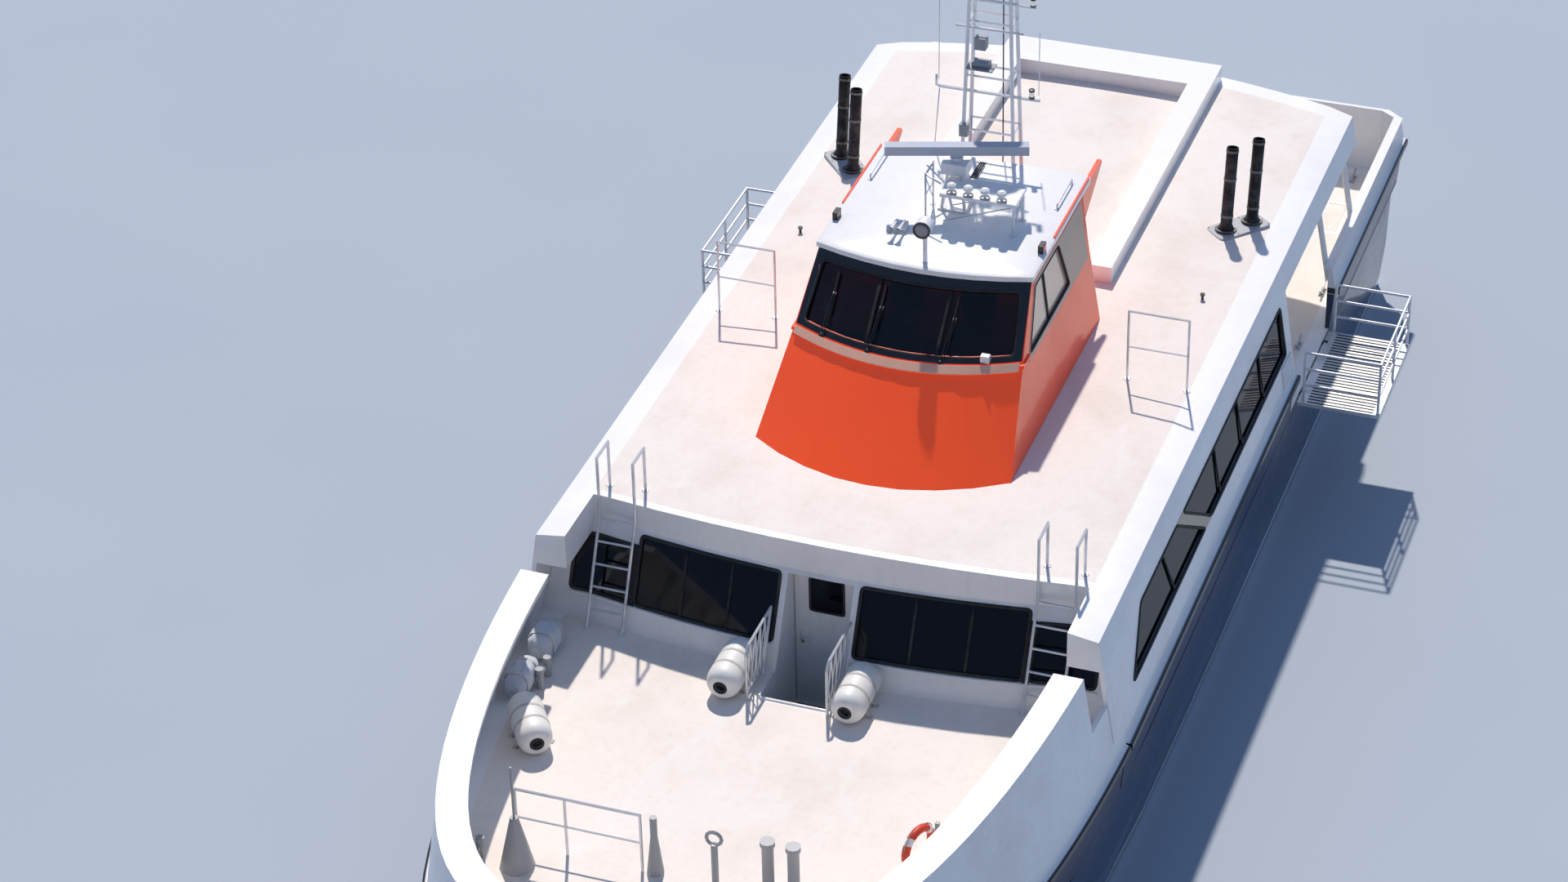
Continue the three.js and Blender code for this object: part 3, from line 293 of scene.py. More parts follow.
# Cream non-slip paint where mask is 1 and gloss white elsewhere, as a colour, a roughness and a height
def deckCoat(w, mask):
    white, _ = weather(w, paints["white"], paints["whiteStain"], 0.3)
    cream, _ = weather(w, paints["cream"], paints["creamStain"], 0.8)
    at, _ = w.xyz()
    worn = w.step(w.noise(at, 1.6, 5.0, 0.7, (0.5, 1.4, 1.0)), 0.5, 0.75)
    cream = w.blend(w.math("MULTIPLY", worn, 0.35), cream, paints["white"])
    rough = w.math("ADD", 0.35, w.math("MULTIPLY", mask, 0.42))
    return w.blend(mask, white, cream), rough, w.math("MULTIPLY", grit(w, 150.0), mask)


# 1 where a value is beyond a limit
def beyond(w, value, limit, edge=0.006):
    return w.step(value, limit - edge, limit + edge)


def either(w, *masks):
    whole = masks[0]
    for mask in masks[1:]:
        whole = w.math("MAXIMUM", whole, mask)
    return whole


def both(w, *masks):
    whole = masks[0]
    for mask in masks[1:]:
        whole = w.math("MULTIPLY", whole, mask)
    return whole


def without(w, mask):
    return w.math("SUBTRACT", 1.0, mask)


# bow * (1 - (min(|y|, half) / half)^2), the shape of the cabin's front in plan
def bowedMask(w, wide):
    k = w.math("DIVIDE", w.math("MINIMUM", wide, boat["bowHalf"]), boat["bowHalf"])
    return w.math("MULTIPLY", w.math("SUBTRACT", 1.0, w.math("MULTIPLY", k, k)), boat["frontBow"])


# The roof's bowed stern edge, its white borders, and the height above which it is deck
roof = {"sternX": -8.85, "sternBow": 0.48, "sternHalf": 3.9, "sternBorder": 0.3, "frontBorder": 0.12,
        "deckZ": 4.295}


def roofPaint(w, shader):
    _, (x, y, z) = w.xyz()
    wide = w.math("ABSOLUTE", y)
    k = w.math("DIVIDE", y, roof["sternHalf"])
    bow = w.math("MULTIPLY", roof["sternBow"], w.math("SUBTRACT", 1.0, w.math("MULTIPLY", k, k)))
    sternX = w.math("SUBTRACT", roof["sternX"] + roof["sternBorder"], bow)
    frontLine = w.math("ADD", boat["roofFrontX"] - roof["frontBorder"], bowedMask(w, wide))
    field = both(w, without(w, beyond(w, wide, boat["bandInner"])),
                 beyond(w, w.math("SUBTRACT", x, sternX), 0.0),
                 beyond(w, w.math("SUBTRACT", frontLine, x), 0.0), beyond(w, z, roof["deckZ"]))
    color, rough, height = deckCoat(w, field)
    w.feed(shader, "Base Color", color)
    w.feed(shader, "Roughness", rough)
    bump(w, shader, height, 0.5, 0.004)


# The foredeck's cream field runs forward by its reach, around the stairwell
foredeck = {"reach": 7.75, "half": 3.55, "stairY": (-0.6, 0.4), "stairFore": 5.26, "wellHalf": 0.7,
            "wellFore": 6.0}


def foredeckPaint(w, shader):
    _, (x, y, z) = w.xyz()
    wide = w.math("ABSOLUTE", y)
    top = beyond(w, z, boat["foreDeck"] - 0.01)
    past = w.math("SUBTRACT", w.math("MAXIMUM", x, boat["narrowX"]), boat["narrowX"])
    t = w.math("DIVIDE", past, foredeck["reach"])
    edge = w.math("MAXIMUM", w.math("SUBTRACT", 1.0, w.math("MULTIPLY", t, t)), 0.0001)
    edge = w.math("MULTIPLY", w.math("POWER", edge, boat["bluntness"]), foredeck["half"])
    stair = both(w, w.inside(y, *foredeck["stairY"]), without(w, beyond(w, x, foredeck["stairFore"])))
    above = beyond(w, z, boat["foreDeck"] + 0.008)
    field = both(w, top, without(w, stair), without(w, above), beyond(w, w.math("SUBTRACT", edge, wide), 0.0))
    color, rough, height = deckCoat(w, field)
    well = both(w, without(w, beyond(w, wide, foredeck["wellHalf"])),
                without(w, beyond(w, x, foredeck["wellFore"])))
    outer = without(w, well)
    color = hullBands(w, z, outer, color)
    w.feed(shader, "Base Color", w.blend(above, color, paints["gearGrey"]))
    w.feed(shader, "Roughness", w.math("MULTIPLY", rough, 0.9))
    bump(w, shader, height, 0.5, 0.004)


rubRail = {"foot": 2.345, "rubber": (2.352, 2.45)}


# Navy under the rub rail and black rubber on it, where outer is 1
def hullBands(w, z, outer, color):
    navy, _ = weather(w, paints["navy"], paints["navyStain"], 0.5)
    color = w.blend(both(w, outer, without(w, beyond(w, z, rubRail["foot"]))), color, navy)
    return w.blend(both(w, outer, w.inside(z, *rubRail["rubber"])), color, paints["rubber"])


def sidePaint(w, shader):
    _, (x, y, z) = w.xyz()
    normal = w.add("SeparateXYZ", i0=w.add("NewGeometry").outputs["Normal"]).outputs
    ahead = w.math("MULTIPLY", normal[0], w.math("ADD", x, 8.0))
    outward = w.math("ADD", ahead, w.math("MULTIPLY", normal[1], y))
    outer = w.step(outward, 0.2, 0.4)
    white, dirt = weather(w, paints["white"], paints["whiteStain"], 0.45)
    w.feed(shader, "Base Color", hullBands(w, z, outer, white))
    w.feed(shader, "Roughness", w.math("ADD", 0.3, w.math("MULTIPLY", dirt, 0.3)))
    w.feed(shader, "Coat Weight", 0.3)
    bump(w, shader, dents(w, 0.9), 0.25, 0.01)


# Limits of the main deck's paints, as half width and distance astern
mainDeck = {"field": (3.68, 11.5), "edge": (3.9, 11.6), "lip": (3.93, 11.785)}


def mainDeckPaint(w, shader):
    _, (x, y, z) = w.xyz()
    wide = w.math("ABSOLUTE", y)
    astern = w.math("MULTIPLY", x, -1.0)
    past = lambda half, aft: either(w, beyond(w, wide, half), beyond(w, astern, aft))
    half, aft = mainDeck["field"]
    top = beyond(w, z, boat["mainDeck"] - 0.004, 0.002)
    field = both(w, top, without(w, beyond(w, wide, half)), beyond(w, x, -aft))
    color, rough, height = deckCoat(w, field)
    navy, _ = weather(w, paints["navy"], paints["navyStain"], 0.5)
    border = either(w, both(w, past(*mainDeck["edge"]), without(w, top)), past(*mainDeck["lip"]))
    color = w.blend(border, color, navy)
    w.feed(shader, "Base Color", color)
    w.feed(shader, "Roughness", rough)
    bump(w, shader, height, 0.5, 0.004)


hullLines = {"bootLow": 0.03, "bootHigh": 0.14}


def hullPaint(w, shader):
    _, (x, y, z) = w.xyz()
    navy, dirt = weather(w, paints["navy"], paints["navyStain"], 0.6)
    under, _ = weather(w, paints["antifoul"], paints["grime"], 0.5)
    boot, _ = weather(w, paints["white"], paints["grime"], 0.5)
    color = w.blend(beyond(w, z, hullLines["bootHigh"]), boot, navy)
    color = w.blend(beyond(w, z, hullLines["bootLow"]), under, color)
    w.feed(shader, "Base Color", color)
    w.feed(shader, "Roughness", w.math("ADD", 0.22, w.math("MULTIPLY", dirt, 0.4)))
    w.feed(shader, "Coat Weight", 0.5)
    bump(w, shader, dents(w, 1.2), 0.3, 0.012)


# Orange wheelhouse, beige inside its room. Its paint carries painted light: a faint orange glow everywhere
# and a stronger one on faces that look forward, standing in for sunlight on the raked front
room = {"half": 1.36, "aft": -2.16, "fore": -0.3, "high": 6.28}


def orangePaint(w, shader):
    _, (x, y, z) = w.xyz()
    color, dirt = weather(w, paints["orange"], paints["orangeStain"], 0.5)
    inside = both(w, without(w, beyond(w, w.math("ABSOLUTE", y), room["half"])),
                  without(w, beyond(w, x, room["fore"])), beyond(w, x, room["aft"]),
                  without(w, beyond(w, z, room["high"])))
    w.feed(shader, "Base Color", w.blend(inside, color, paints["beige"]))
    w.feed(shader, "Roughness", w.math("ADD", 0.3, w.math("MULTIPLY", dirt, 0.3)))
    w.feed(shader, "Coat Weight", 0.35)
    # Painted light: emission on the paint, stronger where the face looks forward, stands in for the sun on
    # the wheelhouse's front
    paintedSunFacing = w.add("SeparateXYZ", i0=w.add("NewGeometry").outputs["Normal"]).outputs[0]
    glow = w.math("ADD", 0.06, w.math("MULTIPLY", w.step(paintedSunFacing, 0.4, 0.6), 0.2))
    w.feed(shader, "Emission Color", rgb("ff4a10"))
    w.feed(shader, "Emission Strength", glow)
    bump(w, shader, dents(w, 1.1), 0.15, 0.008)


# Dark tinted glass that lets a little of the room through, with faint smears of salt
def glassLook(alpha, mirror=0.45):
    def build(w, shader):
        at, _ = w.xyz()
        salt = w.step(w.noise(at, 2.5, 5.0, 0.7), 0.55, 0.85)
        smear = w.math("MULTIPLY", salt, 0.12)
        w.feed(shader, "Base Color", w.blend(smear, paints["glass"], paints["grime"]))
        w.feed(shader, "Roughness", w.math("ADD", 0.04, smear))
        w.feed(shader, "Alpha", w.math("ADD", alpha, w.math("MULTIPLY", salt, 0.1)))
        w.feed(shader, "Specular IOR Level", mirror)
    return build


# Glass with a pale blind close behind it: soft slats under a clear gloss
def blindGlass(w, shader):
    _, (x, y, z) = w.xyz()
    slats = w.step(w.math("SINE", w.math("MULTIPLY", z, 150.0)), -0.9, 0.2)
    w.feed(shader, "Base Color", w.blend(slats, paints["beige"], paints["blind"]))
    w.feed(shader, "Roughness", 0.35)
    w.feed(shader, "Coat Weight", 0.8)
    w.feed(shader, "Coat Roughness", 0.04)


# Bare metal with fine scratches along x and dull patches
def metal(color, rough=0.35, grain=60.0, dull=0.25, metallic=0.85):
    def build(w, shader):
        at, _ = w.xyz()
        scratch = w.noise(at, grain, 4.0, 0.7, (0.2, 1.0, 1.0))
        patch = w.step(w.noise(at, 3.0, 4.0, 0.6), 0.4, 0.7)
        tint = w.blend(w.math("MULTIPLY", patch, 0.5), paints[color], paints["deckGrey"])
        w.feed(shader, "Base Color", tint)
        w.feed(shader, "Metallic", metallic)
        w.feed(shader, "Roughness", w.math("ADD", rough, w.math("MULTIPLY", patch, dull)))
        bump(w, shader, scratch, 0.15, 0.001)
    return build


# Moulded rubber, plastic or vinyl: colour that fades in patches, with a fine grain
def moulded(color, fade, rough=0.6, grain=400.0, amount=0.4, depth=0.0006):
    def build(w, shader):
        tint, dirt = weather(w, paints[color], paints[fade], amount)
        at, _ = w.xyz()
        w.feed(shader, "Base Color", tint)
        w.feed(shader, "Roughness", w.math("ADD", rough, w.math("MULTIPLY", dirt, 0.2)))
        bump(w, shader, w.noise(at, grain, 2.0, 0.6), 0.35, depth)
    return build


# Exhaust black with greyed patches, and soot towards the mouth
def exhaustLook(w, shader):
    at, (x, y, z) = w.xyz()
    patch = w.step(w.noise(at, 6.0, 4.0, 0.65), 0.4, 0.75)
    tint = w.blend(w.math("MULTIPLY", patch, 0.5), paints["black"], paints["grime"])
    mouth = w.step(z, 5.2, 5.6)
    w.feed(shader, "Base Color", w.blend(mouth, tint, paints["soot"]))
    w.feed(shader, "Roughness", w.math("ADD", 0.45, w.math("MULTIPLY", mouth, 0.35)))
    w.feed(shader, "Metallic", 0.2)
    bump(w, shader, patch, 0.2, 0.003)


# Woven seat cloth: crossed waves of thread, with a soft nap
def seatCloth(w, shader):
    at, (x, y, z) = w.xyz()
    warp = w.math("SINE", w.math("MULTIPLY", y, 1900.0))
    weft = w.math("SINE", w.math("MULTIPLY", w.math("ADD", x, z), 1900.0))
    thread = w.math("ADD", w.math("MULTIPLY", warp, weft), 1.0)
    nap = w.step(w.noise(at, 14.0, 5.0, 0.7), 0.35, 0.75)
    color = w.blend(w.math("MULTIPLY", nap, 0.4), paints["seat"], paints["navyStain"])
    w.feed(shader, "Base Color", w.blend(w.math("MULTIPLY", thread, 0.12), color, paints["black"]))
    w.feed(shader, "Roughness", 0.9)
    w.feed(shader, "Sheen Weight", 0.35)
    bump(w, shader, thread, 0.3, 0.0005)


# Life ring: its section, its turn from fore and aft, and how far inboard and how high its middle is
lifeRing = {"radius": 0.245, "thick": 0.052, "turn": 20.0, "inboard": 0.07, "middle": 0.295, "line": 0.006,
            "slack": 0.022}


# Hard orange-red foam with white bands at the quarters, by the angle about the ring's middle
def ringLook(w, shader):
    at, (x, y, z) = w.xyz()
    low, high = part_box("life_ring")
    middle = boat["foreDeck"] + lifeRing["middle"]
    turn = w.math("ARCTAN2", w.math("SUBTRACT", z, middle), w.math("SUBTRACT", x, (low.x + high.x) / 2))
    quarter = w.math("ABSOLUTE", w.math("SINE", w.math("MULTIPLY", turn, 2.0)))
    red, _ = weather(w, paints["ring"], paints["orangeStain"], 0.5)
    white, _ = weather(w, paints["white"], paints["whiteStain"], 0.6)
    w.feed(shader, "Base Color", w.blend(w.step(quarter, 0.93, 0.95), red, white))
    w.feed(shader, "Roughness", 0.5)
    bump(w, shader, w.noise(at, 300.0, 2.0, 0.6), 0.25, 0.0006)


print("stage: shaders")

# Shapes: each is (points, faces), and faces is a list of index arrays


# How far the cabin's front and the roof bow forward at y.
def bowed(y):
    return boat["frontBow"] * (1.0 - (np.minimum(np.abs(y), boat["bowHalf"]) / boat["bowHalf"]) ** 2)


def roofTop(y):
    return boat["roofZ"] + boat["camber"] * (1.0 - (y / boat["bandInner"]) ** 2)


# Outer faces of the cabin: half width at the foot and lean of its side, rake of its front
cabin = {"half": 3.99, "foot": 2.46, "lean": 0.163, "rake": 0.59 / 1.21, "frontTop": 3.96, "knee": 2.75}


# Outer face of the cabin's side above the rub rail.
def sideY(z):
    return cabin["half"] - (z - cabin["foot"]) * cabin["lean"]


# Outer face of the cabin's raked front.
def frontX(y, z):
    fall = cabin["frontTop"] - np.maximum(z, cabin["knee"])
    return boat["roofFrontX"] + fall * cabin["rake"] + bowed(y)


# Outer faces of the wheelhouse at three heights: half width, and x of its front at corner and middle
wheel = {"z": (4.28, 5.5, 6.3), "half": (1.753, 1.555, 1.45), "corner": (2.04, 0.85, 0.15),
         "middle": (2.73, 1.28, 0.4)}


def wheelAt(key, z):
    return np.interp(z, wheel["z"], wheel[key])


# Outer face of the wheelhouse's bowed front: corner + (middle - corner) * (1 - k^2), k = y / half.
def wheelFrontX(y, z):
    k = y / wheelAt("half", z)
    return wheelAt("corner", z) + (wheelAt("middle", z) - wheelAt("corner", z)) * (1.0 - k * k)


# Quads over a rows x columns grid of points.
def gridFaces(rows, columns, closedRows=False, closedColumns=False, start=0):
    i = np.arange(rows if closedRows else rows - 1)[:, None]
    j = np.arange(columns if closedColumns else columns - 1)[None, :]
    a, b = i * columns + j, i * columns + (j + 1) % columns
    c, d = ((i + 1) % rows) * columns + (j + 1) % columns, ((i + 1) % rows) * columns + j
    return np.stack([np.broadcast_to(k, a.shape) for k in (a, b, c, d)], axis=-1).reshape(-1, 4) + start


# A grid of points (rows, columns, 3) as a skin, with a flat face at each end when capped.
def surface(points, closedRows=False, closedColumns=False, capped=False):
    rows, columns = points.shape[:2]
    faces = [gridFaces(rows, columns, closedRows, closedColumns)]
    if capped:
        faces.append(np.arange(columns)[None, ::-1])
        faces.append((np.arange(columns) + (rows - 1) * columns)[None, :])
    return points.reshape(-1, 3), faces


# Several shapes as one, their indices moved along.
def joined(shapes):
    points, faces, start = [], [], 0
    for p, f in shapes:
        points.append(p)
        faces += [k + start for k in f]
        start += len(p)
    return np.concatenate(points), faces


# A profile of (across, out) pairs carried along a path, mitred: out follows up, across lies square to both.
def sweep(path, profile, up=(0.0, 0.0, 1.0), closed=False):
    path, profile = np.asarray(path, float), np.asarray(profile, float)
    steps = np.roll(path, -1, axis=0) - path
    steps /= np.maximum(np.linalg.norm(steps, axis=1, keepdims=True), 1e-9)
    before = np.roll(steps, 1, axis=0)
    if not closed:
        steps[-1], before[0] = steps[-2], steps[0]
    along = steps + before
    along /= np.linalg.norm(along, axis=1, keepdims=True)
    stretch = 1.0 / np.clip((along * steps).sum(axis=1), 0.3, 1.0)
    up = np.broadcast_to(np.asarray(up, float), path.shape)
    across = np.cross(along, up)
    across /= np.linalg.norm(across, axis=1, keepdims=True)
    out = np.cross(across, along)
    points = (path[:, None] + across[:, None] * profile[None, :, :1] * stretch[:, None, None]
              + out[:, None] * profile[None, :, 1:])
    return surface(points, closedRows=closed, closedColumns=True, capped=not closed)


def circle(radius, sides=8):
    turn = np.linspace(0, 2 * math.pi, sides, endpoint=False)
    return np.stack([radius * np.cos(turn), radius * np.sin(turn)], axis=1)


# A round tube along a path that lies in one plane, or straight.
def tube(path, radius, sides=8, closed=False):
    path = np.asarray(path, float)
    steps = np.diff(path, axis=0)
    normal = np.cross(steps[:-1], steps[1:]).sum(axis=0) if len(path) > 2 else np.zeros(3)
    if np.linalg.norm(normal) < 1e-6:
        steep = abs(steps[0][0]) < 0.7 * np.linalg.norm(steps[0])
        normal = np.cross(steps[0], (1.0, 0.0, 0.0) if steep else (0.0, 0.0, 1.0))
    return sweep(path, circle(radius, sides), normal / np.linalg.norm(normal), closed)


# A polyline with its inner corners replaced by arcs of about this radius (quadratic curves).
def rounded(line, bend, steps=4):
    line = np.asarray(line, float)
    t = np.linspace(0, 1, steps + 1)[:, None]
    pieces = [line[:1]]
    for a, b, c in zip(line[:-2], line[1:-1], line[2:]):
        before = b + (a - b) / np.linalg.norm(a - b) * min(bend, np.linalg.norm(a - b) * 0.45)
        after = b + (c - b) / np.linalg.norm(c - b) * min(bend, np.linalg.norm(c - b) * 0.45)
        pieces.append((1 - t) ** 2 * before + 2 * t * (1 - t) * b + t * t * after)
    return np.concatenate(pieces + [line[-1:]])


# A closed outline with rounded corners.
def loop(line, bend, steps=4):
    line = np.asarray(line, float)
    wrapped = rounded(np.concatenate([line[-1:], line, line[:1]]), bend, steps)
    return wrapped[1:-1]


# Boxes from arrays of their low and high corners.
def boxes(lows, highs):
    lows, highs = np.atleast_2d(lows).astype(float), np.atleast_2d(highs).astype(float)
    pick = np.array([[0, 0, 0], [1, 0, 0], [1, 1, 0], [0, 1, 0], [0, 0, 1], [1, 0, 1], [1, 1, 1], [0, 1, 1]])
    points = lows[:, None] * (1 - pick) + highs[:, None] * pick
    quads = np.array([[0, 3, 2, 1], [4, 5, 6, 7], [0, 1, 5, 4], [1, 2, 6, 5], [2, 3, 7, 6], [3, 0, 4, 7]])
    return points.reshape(-1, 3), [(quads[None] + 8 * np.arange(len(lows))[:, None, None]).reshape(-1, 4)]


# One box by the middle of its foot and its size.
def crate(x, y, z, size):
    return boxes([x - size[0] / 2, y - size[1] / 2, z], [x + size[0] / 2, y + size[1] / 2, z + size[2]])


# A profile of (radius, height) turned about an axis through a point.
def turned(profile, centre, axis=(0, 0, 1), sides=32):
    profile = np.asarray(profile, float)
    axis = np.asarray(axis, float) / np.linalg.norm(axis)
    side = np.cross(axis, (1.0, 0.0, 0.0) if abs(axis[0]) < 0.8 else (0.0, 1.0, 0.0))
    side /= np.linalg.norm(side)
    other = np.cross(axis, side)
    turn = np.linspace(0, 2 * math.pi, sides, endpoint=False)
    around = side * np.cos(turn)[:, None] + other * np.sin(turn)[:, None]
    points = profile[:, None, :1] * around[None] + profile[:, None, 1:] * axis + np.asarray(centre, float)
    return surface(points, closedColumns=True, capped=True)


# Crowned cushions: superellipsoids |x/a|^n + |y/b|^n + |z/c|^n = 1, leaning aft by z * lean.
def pillows(centres, halves, power=3.5, rows=8, columns=16, lean=0.0):
    centres, halves = np.atleast_2d(centres).astype(float), np.asarray(halves, float)
    lift = np.linspace(-math.pi / 2, math.pi / 2, rows + 1)[:, None]
    turn = np.linspace(0, 2 * math.pi, columns, endpoint=False)[None, :]
    shaped = lambda v: np.sign(v) * np.abs(v) ** (2.0 / power)
    wide, high = shaped(np.cos(lift)), shaped(np.sin(lift)) * np.ones_like(turn)
    unit = np.stack([wide * shaped(np.cos(turn)), wide * shaped(np.sin(turn)), high], axis=-1) * halves
    unit[..., 0] -= unit[..., 2] * lean
    return joined([surface(unit + c, closedColumns=True, capped=True) for c in centres])


def mirrored(shape, hand):
    points, faces = shape
    return (points, faces) if hand > 0 else (points * (1, -1, 1), [f[:, ::-1] for f in faces])


def bothHands(shape):
    return joined([mirrored(shape, hand) for _, hand in hands])


# A fitted piece from a shape or a list of shapes, in one of the looks, riding on a body.
def make(name, shape, look, body="vessel", smooth=False, bevel=0.0, segments=2):
    finish, slot = looks[look]
    points, faces = joined(shape) if isinstance(shape, list) else shape
    mesh = bpy.data.meshes.new(name)
    mesh.from_pydata(points.tolist(), [], [face for block in faces for face in block.tolist()])
    mesh.materials.append(finish)
    mesh.polygons.foreach_set("use_smooth", np.full(len(mesh.polygons), smooth))
    mesh.update()
    piece = bpy.data.objects.new(name, mesh)
    bpy.context.scene.collection.objects.link(piece)
    fixNormals(piece)
    if bevel:
        rounding = piece.modifiers.new("bevel", "BEVEL")
        rounding.width = bevel
        rounding.segments = segments
        rounding.limit_method = "ANGLE"
    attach(piece, body)
    return piece


def fixNormals(piece):
    work = bmesh.new()
    work.from_mesh(piece.data)
    bmesh.ops.remove_doubles(work, verts=work.verts, dist=1e-5)
    bmesh.ops.recalc_face_normals(work, faces=work.faces)
    work.to_mesh(piece.data)
    work.free()


print("stage: shape helpers")


# Smooth shading over joined corners, sharp where two faces meet at more than the limit
def softShade(limit=0.6):
    tree = bpy.data.node_groups.new("softShade", "GeometryNodeTree")
    tree.interface.new_socket("Geometry", in_out="INPUT", socket_type="NodeSocketGeometry")
    tree.interface.new_socket("Geometry", in_out="OUTPUT", socket_type="NodeSocketGeometry")
    kinds = ("NodeGroupInput", "GeometryNodeMergeByDistance", "GeometryNodeSetShadeSmooth",
             "GeometryNodeSetShadeSmooth", "GeometryNodeInputMeshEdgeAngle", "FunctionNodeCompare",
             "NodeGroupOutput")
    start, merge, smooth, sharp, angle, above, end = (tree.nodes.new(kind) for kind in kinds)
    merge.inputs["Distance"].default_value = 0.0002
    smooth.domain, sharp.domain = "FACE", "EDGE"
    above.inputs[1].default_value = limit
    sharp.inputs["Shade Smooth"].default_value = False
    link = tree.links.new
    link(start.outputs[0], merge.inputs[0])
    link(merge.outputs[0], smooth.inputs["Geometry"])
    link(smooth.outputs[0], sharp.inputs["Geometry"])
    link(angle.outputs["Unsigned Angle"], above.inputs[0])
    link(above.outputs[0], sharp.inputs["Selection"])
    link(sharp.outputs[0], end.inputs[0])
    return tree


shadeTree = softShade()


def shadeSoftly(piece):
    change = piece.modifiers.new("softShade", "NODES")
    change.node_group = shadeTree


whitePaint = material("whitePaint", paint("white", "whiteStain", 0.45))
railMetal = material("railMetal", metal("rail", 0.34, metallic=0.45))

# Materials of the CAD nodes, by the beginning of the node's name
finishes = (
    ("hull_", material("hullPaint", hullPaint)),
    ("bridge_structure", material("hullPaint", hullPaint)),
    ("engine_hatch", material("hatchPaint", mainDeckPaint)),
    ("engine_", material("enginePaint", paint("engine", "grime", 0.7, 0.5, 0.1))),
    ("jet_nozzle", material("castMetal", metal("aluminium", 0.4))),
    ("reverse_bucket", material("castMetal", metal("aluminium", 0.4))),
    ("main_deck", material("mainDeckPaint", mainDeckPaint)),
    ("foredeck_rail", railMetal),
    ("foredeck", material("foredeckPaint", foredeckPaint)),
    ("boarding_ramp", railMetal),
    ("bulwark_", whitePaint),
    ("cabin_side", material("sidePaint", sidePaint)),
    ("aft_bulwark", material("sidePaint", sidePaint)),
    ("side_glass", material("sideGlass", glassLook(0.97, 0.12))),
    ("front_glass", material("cabinGlass", glassLook(0.9))),
    ("windscreen", material("wheelGlass", glassLook(0.86))),
    ("wheelhouse_glass", material("blindGlass", blindGlass)),
    ("cabin_roof", material("roofPaint", roofPaint)),
    ("exhaust_", material("exhaustLook", exhaustLook)),
    ("wheelhouse_roof", whitePaint),
    ("wheelhouse", material("orangePaint", orangePaint)),
    ("helm", material("helmTrim", moulded("black", "grime", 0.55, 300.0))),
    ("seats", material("seatCloth", seatCloth)),
    ("ladder", railMetal),
    ("roof_rail", railMetal),
    ("stair_guard", railMetal),
    ("fender", material("fenderVinyl", moulded("vinyl", "whiteStain", 0.42, 220.0, 0.7))),
    ("windlass", material("castMetal", metal("aluminium", 0.4))),
    ("life_ring", material("ringLook", ringLook)),
    # The radar scanner's blue-grey paint is painted shade, the look of its white paint on the side away from
    # the sun
    ("radar_scanner", material("scannerShadePaint", paint("scanner", "whiteStain", 0.4))),
    ("", whitePaint),
)


def finishOf(name):
    return next(finish for start, finish in finishes if name.startswith(start))


for name, node in nodes.items():
    node.data.materials.clear()
    node.data.materials.append(finishOf(name))
    shadeSoftly(node)

print("stage: node finishes")

# More finishes for the fitted pieces


# Laid rope: slanted strands, as bands across x + y + 1.7 * z
def ropeLook(w, shader):
    _, (x, y, z) = w.xyz()
    slant = w.math("ADD", w.math("ADD", x, y), w.math("MULTIPLY", z, 1.7))
    lay = w.math("SINE", w.math("MULTIPLY", slant, 420.0))
    strand = w.step(lay, -0.4, 0.6)
    w.feed(shader, "Base Color", w.blend(strand, paints["grime"], paints["rope"]))
    w.feed(shader, "Roughness", 0.85)
    bump(w, shader, strand, 0.5, 0.002)


# A lamp's lens: moulded glass with fine ribs, lit a little from inside
def lensLook(color, glow):
    def build(w, shader):
        _, (x, y, z) = w.xyz()
        ribs = w.math("SINE", w.math("MULTIPLY", z, 900.0))
        w.feed(shader, "Base Color", w.blend(w.step(ribs, 0.2, 0.9), paints[color], paints["lamp"]))
        w.feed(shader, "Roughness", 0.12)
        w.feed(shader, "Emission Color", paints[color])
        w.feed(shader, "Emission Strength", glow)
        bump(w, shader, ribs, 0.2, 0.001)
    return build


# Canvas: a plain weave of crossed waves, stained darker in patches
def canvasLook(w, shader):
    _, (x, y, z) = w.xyz()
    warp = w.math("SINE", w.math("MULTIPLY", x, 1500.0))
    weft = w.math("SINE", w.math("MULTIPLY", w.math("ADD", y, z), 1500.0))
    tint, _ = weather(w, paints["canvas"], paints["canvasFold"], 0.9)
    w.feed(shader, "Base Color", tint)
    w.feed(shader, "Roughness", 0.9)
    w.feed(shader, "Sheen Weight", 0.3)
    bump(w, shader, w.math("MULTIPLY", warp, weft), 0.35, 0.0006)


# Screens: dark glass with a lit grid of thin lines
def screenLook(w, shader):
    _, (x, y, z) = w.xyz()
    across = w.math("FRACT", w.math("MULTIPLY", y, 14.0))
    down = w.math("FRACT", w.math("MULTIPLY", z, 22.0))
    lines = either(w, w.step(across, 0.95, 0.97), w.step(down, 0.93, 0.96))
    w.feed(shader, "Base Color", w.blend(lines, paints["glass"], paints["teal"]))
    w.feed(shader, "Roughness", 0.15)
    w.feed(shader, "Emission Color", paints["teal"])
    w.feed(shader, "Emission Strength", w.math("MULTIPLY", lines, 0.6))


